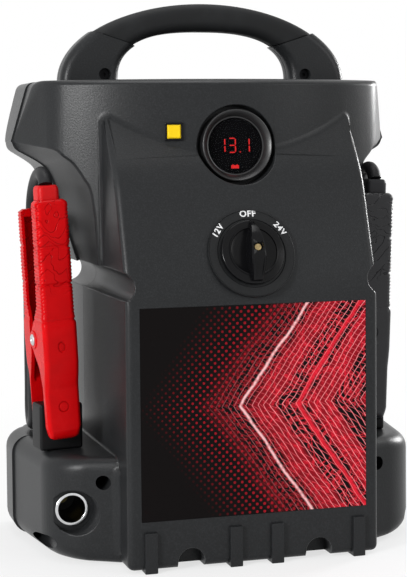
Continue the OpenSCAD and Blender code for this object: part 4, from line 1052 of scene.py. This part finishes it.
def rear_lever(ribs_count):
    body = lever("rear_lever", REAR_FACE, REAR_BACK, 1, 12, 188, ribs_count)
    ear = along_x("ears", [(p[0] - FACE_Y, p[1]) for p in ((-5, 84), (-3.5, 80), (12, 75), (12, 101), (0, 96), (-5, 92))], -10.7, 10.7)
    cut(ear, block("between_ears", (-7.7, -40, 50), (7.7, 60, 120)))
    joined(body, ear)
    cut(body, moved(drum("pin_hole", 3.05, -30, 30, 32), shift(0, 0, 87) @ turn(90, "Y")))
    return rounded(body, 0.35, 2, 50)


def pivot_pin():
    pin = lathe("pin", [(0, -14.5), (3, -14.5), (3, 14.5), (0, 14.5)], 40)
    for s in (-1, 1):
        head = lathe("head", [(0, 14.1), (4.5, 14.1), (4.5, 15), (3.6, 15.7), (1.6, 15.8), (1.2, 15.2), (0, 15.2)], 40)
        joined(pin, moved(head, turn(0 if s > 0 else 180, "X")))
    return moved(pin, shift(0, 0, 87) @ turn(90, "Y"))


def spring():
    """A torsion spring round the pin, with a leg up inside each lever."""
    points = []
    a0, sweep, r = 200, 4 * 360 + 540 - 400, 4.2
    for i in range(121):
        a = radians(a0 + sweep * i / 120)
        points.append((10.4 * (i / 120 - 0.5), r * cos(a), r * sin(a) + 87))
    first, last = Vector(points[0]), Vector(points[-1])
    leg = Vector((0, sin(radians(a0)), -cos(radians(a0)))) * 22
    points = [tuple(first + leg)] + points + [tuple(last + Vector((0, -leg.y, leg.z)))]
    return tube("spring", points, 1, 10)


def tube(name, points, r, sides):
    """A closed round tube along points in millimetres."""
    line = [Vector(p) for p in points]
    up, rings = None, []
    for i, p in enumerate(line):
        way = (line[min(i + 1, len(line) - 1)] - line[max(i - 1, 0)]).normalized()
        if up is None:
            up = way.orthogonal().normalized()
        up = (up - way * up.dot(way)).normalized()
        side = way.cross(up)
        rings.append([tuple(p + r * (up * cos(2 * pi * k / sides) + side * sin(2 * pi * k / sides))) for k in range(sides)])
    return loft(name, rings)


def sleeve():
    """The strain relief on top of a clamp: a soft block that narrows to the cable."""
    def ring(half, z):
        r = half * 0.45
        return [(cx + x, cy + y - 11.5, z) for cx, cy, a in ((half - r, half - r, 0), (r - half, half - r, 90), (r - half, r - half, 180), (half - r, r - half, 270)) for x, y in arc(0, 0, r, a, a + 90, 4)]
    body = loft("sleeve", [ring(8.5, 196), ring(8.5, 203.5), ring(8.1, 205.4), ring(7.2, 206.7), ring(6.2, 207)])
    return body


def rest(width):
    body = rounded(block("rest", (-width / 2, -11, 0), (width / 2, 11, 36)), 2.2, 3)
    cut(body, block("rest_hollow", (3 - width / 2, -8, -1), (width / 2 - 3, 8, 33)))
    return body


def gland():
    """A ribbed rubber gland where a cable leaves the foot."""
    profile = [(0, -12), (6.9, -12), (6.9, 0.02), (8.5, 0.02), (8.5, 3), (8, 3.6)]
    for i in range(4):
        z = 4.4 + i * 2.3
        profile += [(7.4 - i * 0.3, z), (7.2 - i * 0.3, z + 1.3), (6.4 - i * 0.15, z + 1.5), (6.3 - i * 0.15, z + 2.1)]
    return lathe("gland", profile + [(6, 14), (0, 14)], 48)


# ---------------------------------------------------------------- cables
# [lane, depth behind the parting line, height above the foot]
HANK = [(0, 0, 14), (0, 0, 40), (0, 0, 68), (0, 0, 96), (0, 0, 118), (0.2, 7, 137), (0.5, 25, 145), (0.8, 43, 137), (1, 50, 118),
        (1, 50, 90), (1, 50, 62), (1, 50, 34), (1.2, 43, 14), (1.5, 25, 6), (1.8, 7, 14), (2, 0, 34), (2, -1, 62), (2, -1, 90),
        (2, -1, 118), (2, -1, 141), (2.2, 6, 160), (2.5, 24, 168), (2.8, 42, 160), (3, 49, 141), (3, 49, 107), (3, 49, 70), (3, 49, 34),
        (3.2, 42, 14), (3.5, 24, 6), (3.8, 4, 14), (4, -4, 34), (4, -6, 67), (4, -7, 101), (4, -7, 135), (4, -7, 167), (4, -9, 188)]
ARCH = [(0.1, -17, -6), (0.4, -32, 4), (0.7, -46, 8), (0.9, -58, 8), (1, -65, 5)]


def sleeve_mouth(side, x, yaw, lean):
    yaw, lean = radians(yaw), radians(lean)
    h = 196 + 11 + 0.3
    out = h * sin(lean)
    return (side * (x + out * cos(yaw) - 11.5 * sin(yaw)), CLAMP_Y - out * sin(yaw) - 11.5 * cos(yaw), FOOT_Z + h * cos(lean))


def cable_route(side, lane, pitch, end):
    points = [(side * (lane + pitch * q), PART_Y + d, FOOT_Z + z) for q, d, z in HANK]
    last = side * (lane + pitch * 4)
    points += [(last * (1 - q) + end[0] * q, PART_Y + d, end[2] + z) for q, d, z in ARCH]
    return points + [(end[0], end[1], end[2] + 2), end]


def spaced(points, step):
    """The same smooth run with its points a step apart."""
    fine = [Vector(p) for p in eased(points, 12)]
    run, left = [fine[0]], step
    for a, b in zip(fine, fine[1:]):
        length = (b - a).length
        while length >= left > 0:
            a = a + (b - a).normalized() * left
            run.append(a)
            length -= left
            left = step
        left -= length
    if (run[-1] - fine[-1]).length > step / 4:
        run.append(fine[-1])
    return [tuple(p) for p in run]


def total(points):
    return sum((Vector(b) - Vector(a)).length for a, b in zip(points, points[1:]))


# ---------------------------------------------------------------- operators
def settings():
    return bpy.context.scene.jump_case, bpy.context.scene.jump_panel, bpy.context.scene.jump_clamp


class JUMP_OT_case(bpy.types.Operator):
    """Models the front and rear shells"""

    bl_idname = "jump.case"
    bl_label = "Case"

    def execute(self, context):
        case, _, _ = settings()
        finish = grained_plastic("case_plastic", case.plastic)
        rim, crease = case.rim_radius / MM, case.crease_radius / MM
        front = case_front(rim, crease)
        front.name = "case_front"
        dressed(front, finish, "case", "case_plastic", "front_shell")
        rear = case_rear(rim, crease)
        rear.name = "case_rear"
        dressed(rear, finish, "case", "case_plastic", "rear_shell")
        return {"FINISHED"}


class JUMP_OT_handle(bpy.types.Operator):
    """Models the handle's two halves and its soft grip"""

    bl_idname = "jump.handle"
    bl_label = "Handle"

    def execute(self, context):
        case, _, _ = settings()
        finish = grained_plastic("handle_plastic", case.plastic)
        for name, node, front in (("arch_front", "handle_front", True), ("arch_rear", "handle_rear", False)):
            half = handle_half(front)
            half.name = name
            dressed(half, finish, "case", "case_plastic", node)
        grip = handle_grip()
        grip.name = "grip_cover"
        dressed(grip, soft_rubber("grip_rubber", case.grip), "case", "grip_rubber", "handle_grip")
        return {"FINISHED"}


class JUMP_OT_gauge(bpy.types.Operator):
    """Models the voltage gauge with its lit digits"""

    bl_idname = "jump.gauge"
    bl_label = "Gauge"

    def execute(self, context):
        _, panel, _ = settings()
        dressed(gauge_ring(), smooth_plastic("gauge_plastic", (0.012, 0.012, 0.0125), 0.3, 0.5), "case", "gauge_plastic", "gauge_bezel")
        dressed(gauge_window(), smoked_glass("gauge_glass"), "case", "gauge_glass", "gauge_lens")
        dressed(gauge_digits(panel.reading, panel.digit_height / MM), lamp("gauge_lamp", panel.lamp, panel.glow), "case", None)
        return {"FINISHED"}


class JUMP_OT_controls(bpy.types.Operator):
    """Models the test button, the selector and the 12 V socket"""

    bl_idname = "jump.controls"
    bl_label = "Controls"

    def execute(self, context):
        case, panel, _ = settings()
        gloss = smooth_plastic("black_gloss_plastic", (0.003, 0.003, 0.0035), 0.14, 0.15)
        piece = button_frame()
        piece.name = "button_surround"
        dressed(piece, gloss, "case", "black_gloss_plastic", "button_frame")
        dressed(button_cap(), smooth_plastic("yellow_plastic", panel.button, 0.3), "button", "yellow_plastic", "test_button")
        dressed(dial_disc(), grained_plastic("dial_plastic", shade(case.plastic, 0.6), 0.4, 0.4), "case", "dial_plastic", "dial_plate")
        ink = smooth_plastic("white_ink", (0.78, 0.78, 0.78), 0.5)
        for name, text, angle in (("letters_off", "OFF", 0), ("letters_12v", "12V", -54), ("letters_24v", "24V", 53)):
            dressed(lettering(name, text, angle, 30.9, panel.letter_height), ink, "case", None)
        dressed(knob(), gloss, "selector", "black_gloss_plastic", "selector_knob")
        dressed(knob_screw(), metal("brass", (0.34, 0.26, 0.13), 0.3), "selector", "brass", "knob_screw")
        # the socket's bore behind its lip carries painted shade
        dressed(socket_tube(), metal("socket_chrome", (0.7, 0.71, 0.72), 0.14, 0.1, FACE_Y + 54.5), "case", "socket_chrome", "socket_barrel")
        return {"FINISHED"}


class JUMP_OT_clamps(bpy.types.Operator):
    """Models both clamps, their rests and glands"""

    bl_idname = "jump.clamps"
    bl_label = "Clamps"

    def execute(self, context):
        _, _, clamp = settings()
        front, rear, pin, coil, top = front_lever(clamp.grip_ribs), rear_lever(clamp.grip_ribs), pivot_pin(), spring(), sleeve()
        steel = metal("zinc_steel", (0.6, 0.61, 0.62), 0.3)
        wire = metal("spring_steel", (0.42, 0.42, 0.43), 0.35)
        ground = smooth_plastic("rest_plastic", (0.006, 0.006, 0.0065), 0.4, 0.12)
        rubber = soft_rubber("gland_rubber", (0.011, 0.011, 0.012))
        for side, place, colour, width, slot in (("red", AT_RED, clamp.red, 35, "red_plastic"), ("black", AT_BLACK, clamp.black, 30, "black_clamp_plastic")):
            cover = clamp_cover(slot, colour, sheen=0.07 if side == "red" else 0.3)
            held = AT_CLAMP[side]
            dressed(copied(front, side + "_handle_front", held), cover, "case", slot, side + "_front_lever")
            dressed(copied(rear, side + "_handle_rear", held), cover, side + "_rear", slot, side + "_rear_lever")
            dressed(copied(pin, side + "_rivet", held), steel, "case", "zinc_steel", side + "_pivot_pin")
            dressed(copied(coil, side + "_torsion_spring", held), wire, "case", "spring_steel", side + "_spring")
            dressed(copied(top, side + "_strain_relief", held), smooth_plastic(side + "_relief", colour, 0.4), "case", slot, side + "_sleeve")
            dressed(moved(rest(width), place), ground, "case", "rest_plastic", side + "_rest").name = side + "_jaw_rest"
            x = CABLE_EXITS[0 if side == "red" else 1]
            dressed(moved(gland(), shift(x, PART_Y, FOOT_Z)), rubber, "case", "gland_rubber", side + "_gland").name = side + "_cable_gland"
        for piece in (front, rear, pin, coil, top):
            bpy.data.meshes.remove(piece.data)
        return {"FINISHED"}


class JUMP_OT_cables(bpy.types.Operator):
    """Lays both clamp cables in their hanks behind the clamps"""

    bl_idname = "jump.cables"
    bl_label = "Cables"

    def execute(self, context):
        case, _, clamp = settings()
        jacket = soft_rubber("cable_rubber", case.rubber, 0.5)
        d = clamp.cable_diameter / MM
        for side, sign, lane, pitch, end in (("red", -1, 120, 6.5, sleeve_mouth(-1, 137, 8, 3)), ("black", 1, 112.6, 5.6, sleeve_mouth(1, 120.5, 7, 2))):
            route = spaced(cable_route(sign, lane, pitch, end), 6)
            cable = tube(side + "_clamp_cable", route, d / 2, 20)
            dressed(cable, jacket, "case", "cable_rubber", side + "_cable", smooth=60)
            metres = [tuple(c * MM for c in p) for p in route]
        return {"FINISHED"}


class JUMP_OT_inside(bpy.types.Operator):
    """Finishes the CAD parts that keep their shapes"""

    bl_idname = "jump.inside"
    bl_label = "Inner parts"

    def execute(self, context):
        _, panel, _ = settings()
        resin = smooth_plastic("battery_plastic", (0.02, 0.02, 0.023), 0.45)
        plates = grained_plastic("battery_plates", (0.1, 0.1, 0.105), 0.4, 0.6, 300)
        black = smooth_plastic("inner_plastic", (0.012, 0.012, 0.013), 0.4)
        steel = metal("plated_steel", (0.58, 0.59, 0.6), 0.34)
        dark_steel = metal("blackened_steel", (0.012, 0.012, 0.013), 0.45)
        copper = metal("jaw_steel", (0.75, 0.66, 0.55), 0.3)
        brass = bpy.data.materials["brass"]
        finishes = {
            "label_plate": label_print("label_film", panel.label_red),
            "shell_screws": dark_steel, "gauge_display": smooth_plastic("display_black", (0.001, 0.001, 0.0012), 0.3, 0.03), "gauge_can": black, "gauge_clamp_nut": black,
            "button_switch": black, "selector_shaft": steel, "selector_nut": steel, "battery_tray": steel,
            "selector_switch": smooth_plastic("switch_resin", (0.2, 0.03, 0.02), 0.4),
            # the socket contact's brass is darkened as painted shade at the bottom of its bore
            "socket_insulator": black, "socket_nut": black, "socket_contact": metal("bore_shaded_brass", (0.16, 0.13, 0.05), 0.4), "battery_posts": brass,
            "battery_leads": soft_rubber("lead_rubber", (0.3, 0.01, 0.01)),
        }
        for place in ("front", "rear"):
            finishes[place + "_battery_case"] = resin
            finishes[place + "_battery_lid"] = resin
            finishes[place + "_battery_cells"] = plates
            for side in ("red", "black"):
                finishes[side + "_" + place + "_jaw"] = copper
        for node, finish in finishes.items():
            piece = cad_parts[node]
            piece.data.materials.clear()
            piece.data.materials.append(finish)
        return {"FINISHED"}


class JUMP_OT_stage(bpy.types.Operator):
    """Sets the floor, the lights and the camera"""

    bl_idname = "jump.stage"
    bl_label = "Stage"

    def execute(self, context):
        scene = context.scene
        scene.view_settings.view_transform = "Standard"
        bpy.ops.object.select_all(action="DESELECT")
        bpy.ops.mesh.primitive_plane_add(size=9)
        floor = context.active_object
        floor.name = "floor"
        f = Finish("floor_paper")
        speck = f.noise(60, 3)
        x, y, _ = f.axes()
        away = (x * x + y * y) ** 0.5
        paper = f.add("ShaderNodeBsdfPrincipled", {}, {"Base Color": f.mix(speck, (0.8, 0.8, 0.8), (0.84, 0.84, 0.84)), "Roughness": 0.9})
        white = f.add("ShaderNodeEmission", {}, {"Color": (1, 1, 1), "Strength": 1})
        share = f.seen() * (0.7 + away.ramp(0.2, 0.75) * 0.3)
        f.add("ShaderNodeOutputMaterial", {}, [f.add("ShaderNodeMixShader", {}, [share, paper, white])], None)
        floor.data.materials.append(f.material)
        world = bpy.data.worlds.new("studio")
        scene.world = world
        f = Finish("studio", world)
        soft = f.add("ShaderNodeBackground", {}, {"Color": (0.9, 0.92, 0.95), "Strength": 0.4})
        white = f.add("ShaderNodeBackground", {}, {"Color": (1, 1, 1), "Strength": 1})
        f.add("ShaderNodeOutputWorld", {}, [f.add("ShaderNodeMixShader", {}, [f.seen(), soft, white])], None)
        for name, place, aim, size, power in (
            ("key", (-1.5, -1.3, 1.25), (0, 0, 0.22), 0.7, 6),
            ("fill", (1.6, -1.5, 1.0), (0, 0, 0.2), 0.9, 8),
            ("top", (0, 0.2, 2.0), (0, 0, 0.2), 1.1, 12),
            ("left", (-1.5, -0.95, 0.6), (0, 0, 0.25), 0.42, 24),
            ("right", (1.55, 0.75, 0.62), (0, 0, 0.25), 0.4, 20),
        ):
            bpy.ops.object.light_add(type="AREA", location=place)
            light = context.active_object
            light.name = name
            light.data.shape = "SQUARE"
            light.data.size = size
            light.data.energy = power
            light.rotation_euler = (Vector(aim) - Vector(place)).to_track_quat("-Z", "Y").to_euler()
        bpy.ops.object.camera_add(location=[c * MM for c in (-361.62, -1122.20 + FACE_Y, -42.20 + 372)])
        camera = context.active_object
        camera.data.sensor_fit = "VERTICAL"
        camera.data.sensor_height = 36
        camera.data.lens = 1566.3 / 577 * 36
        camera.data.shift_y = -(577 / 2 - 218.11) / 577
        camera.data.clip_start = 0.05
        th, p, r = radians(16), radians(3.16), radians(0.502)
        fwd = Vector((sin(th) * cos(p), cos(th) * cos(p), -sin(p)))
        right = Vector((cos(th), -sin(th), 0))
        up = right.cross(fwd)
        across, tall = cos(r) * right - sin(r) * up, cos(r) * up + sin(r) * right
        camera.rotation_euler = Matrix((across, tall, -fwd)).transposed().to_euler()
        scene.camera = camera
        return {"FINISHED"}


class JUMP_PT_panel(bpy.types.Panel):
    """Lists the pieces and their sizes and colours"""

    bl_idname = "JUMP_PT_panel"
    bl_label = "Jump Starter Pack"
    bl_space_type = "VIEW_3D"
    bl_region_type = "UI"
    bl_category = "Jump Starter"

    def draw(self, context):
        for group in settings():
            box = self.layout.box()
            for name in group.bl_rna.properties.keys():
                if name not in ("rna_type", "name"):
                    box.prop(group, name)
        for operator in OPERATORS:
            self.layout.operator(operator.bl_idname)


OPERATORS = (JUMP_OT_stage, JUMP_OT_cables, JUMP_OT_case, JUMP_OT_handle, JUMP_OT_gauge, JUMP_OT_controls, JUMP_OT_clamps, JUMP_OT_inside)
GROUPS = (("jump_case", CaseSettings), ("jump_panel", PanelSettings), ("jump_clamp", ClampSettings))


def register():
    for name, group in GROUPS:
        bpy.utils.register_class(group)
        setattr(bpy.types.Scene, name, PointerProperty(type=group))
    for operator in OPERATORS:
        bpy.utils.register_class(operator)
    bpy.utils.register_class(JUMP_PT_panel)


def unregister():
    bpy.utils.unregister_class(JUMP_PT_panel)
    for operator in reversed(OPERATORS):
        bpy.utils.unregister_class(operator)
    for name, group in reversed(GROUPS):
        delattr(bpy.types.Scene, name)
        bpy.utils.unregister_class(group)


def main():
    register()
    bpy.ops.jump.stage()
    bpy.ops.jump.cables()
    bpy.ops.jump.case()
    bpy.ops.jump.handle()
    bpy.ops.jump.gauge()
    bpy.ops.jump.controls()
    bpy.ops.jump.clamps()
    bpy.ops.jump.inside()


if __name__ == "__main__":
    main()
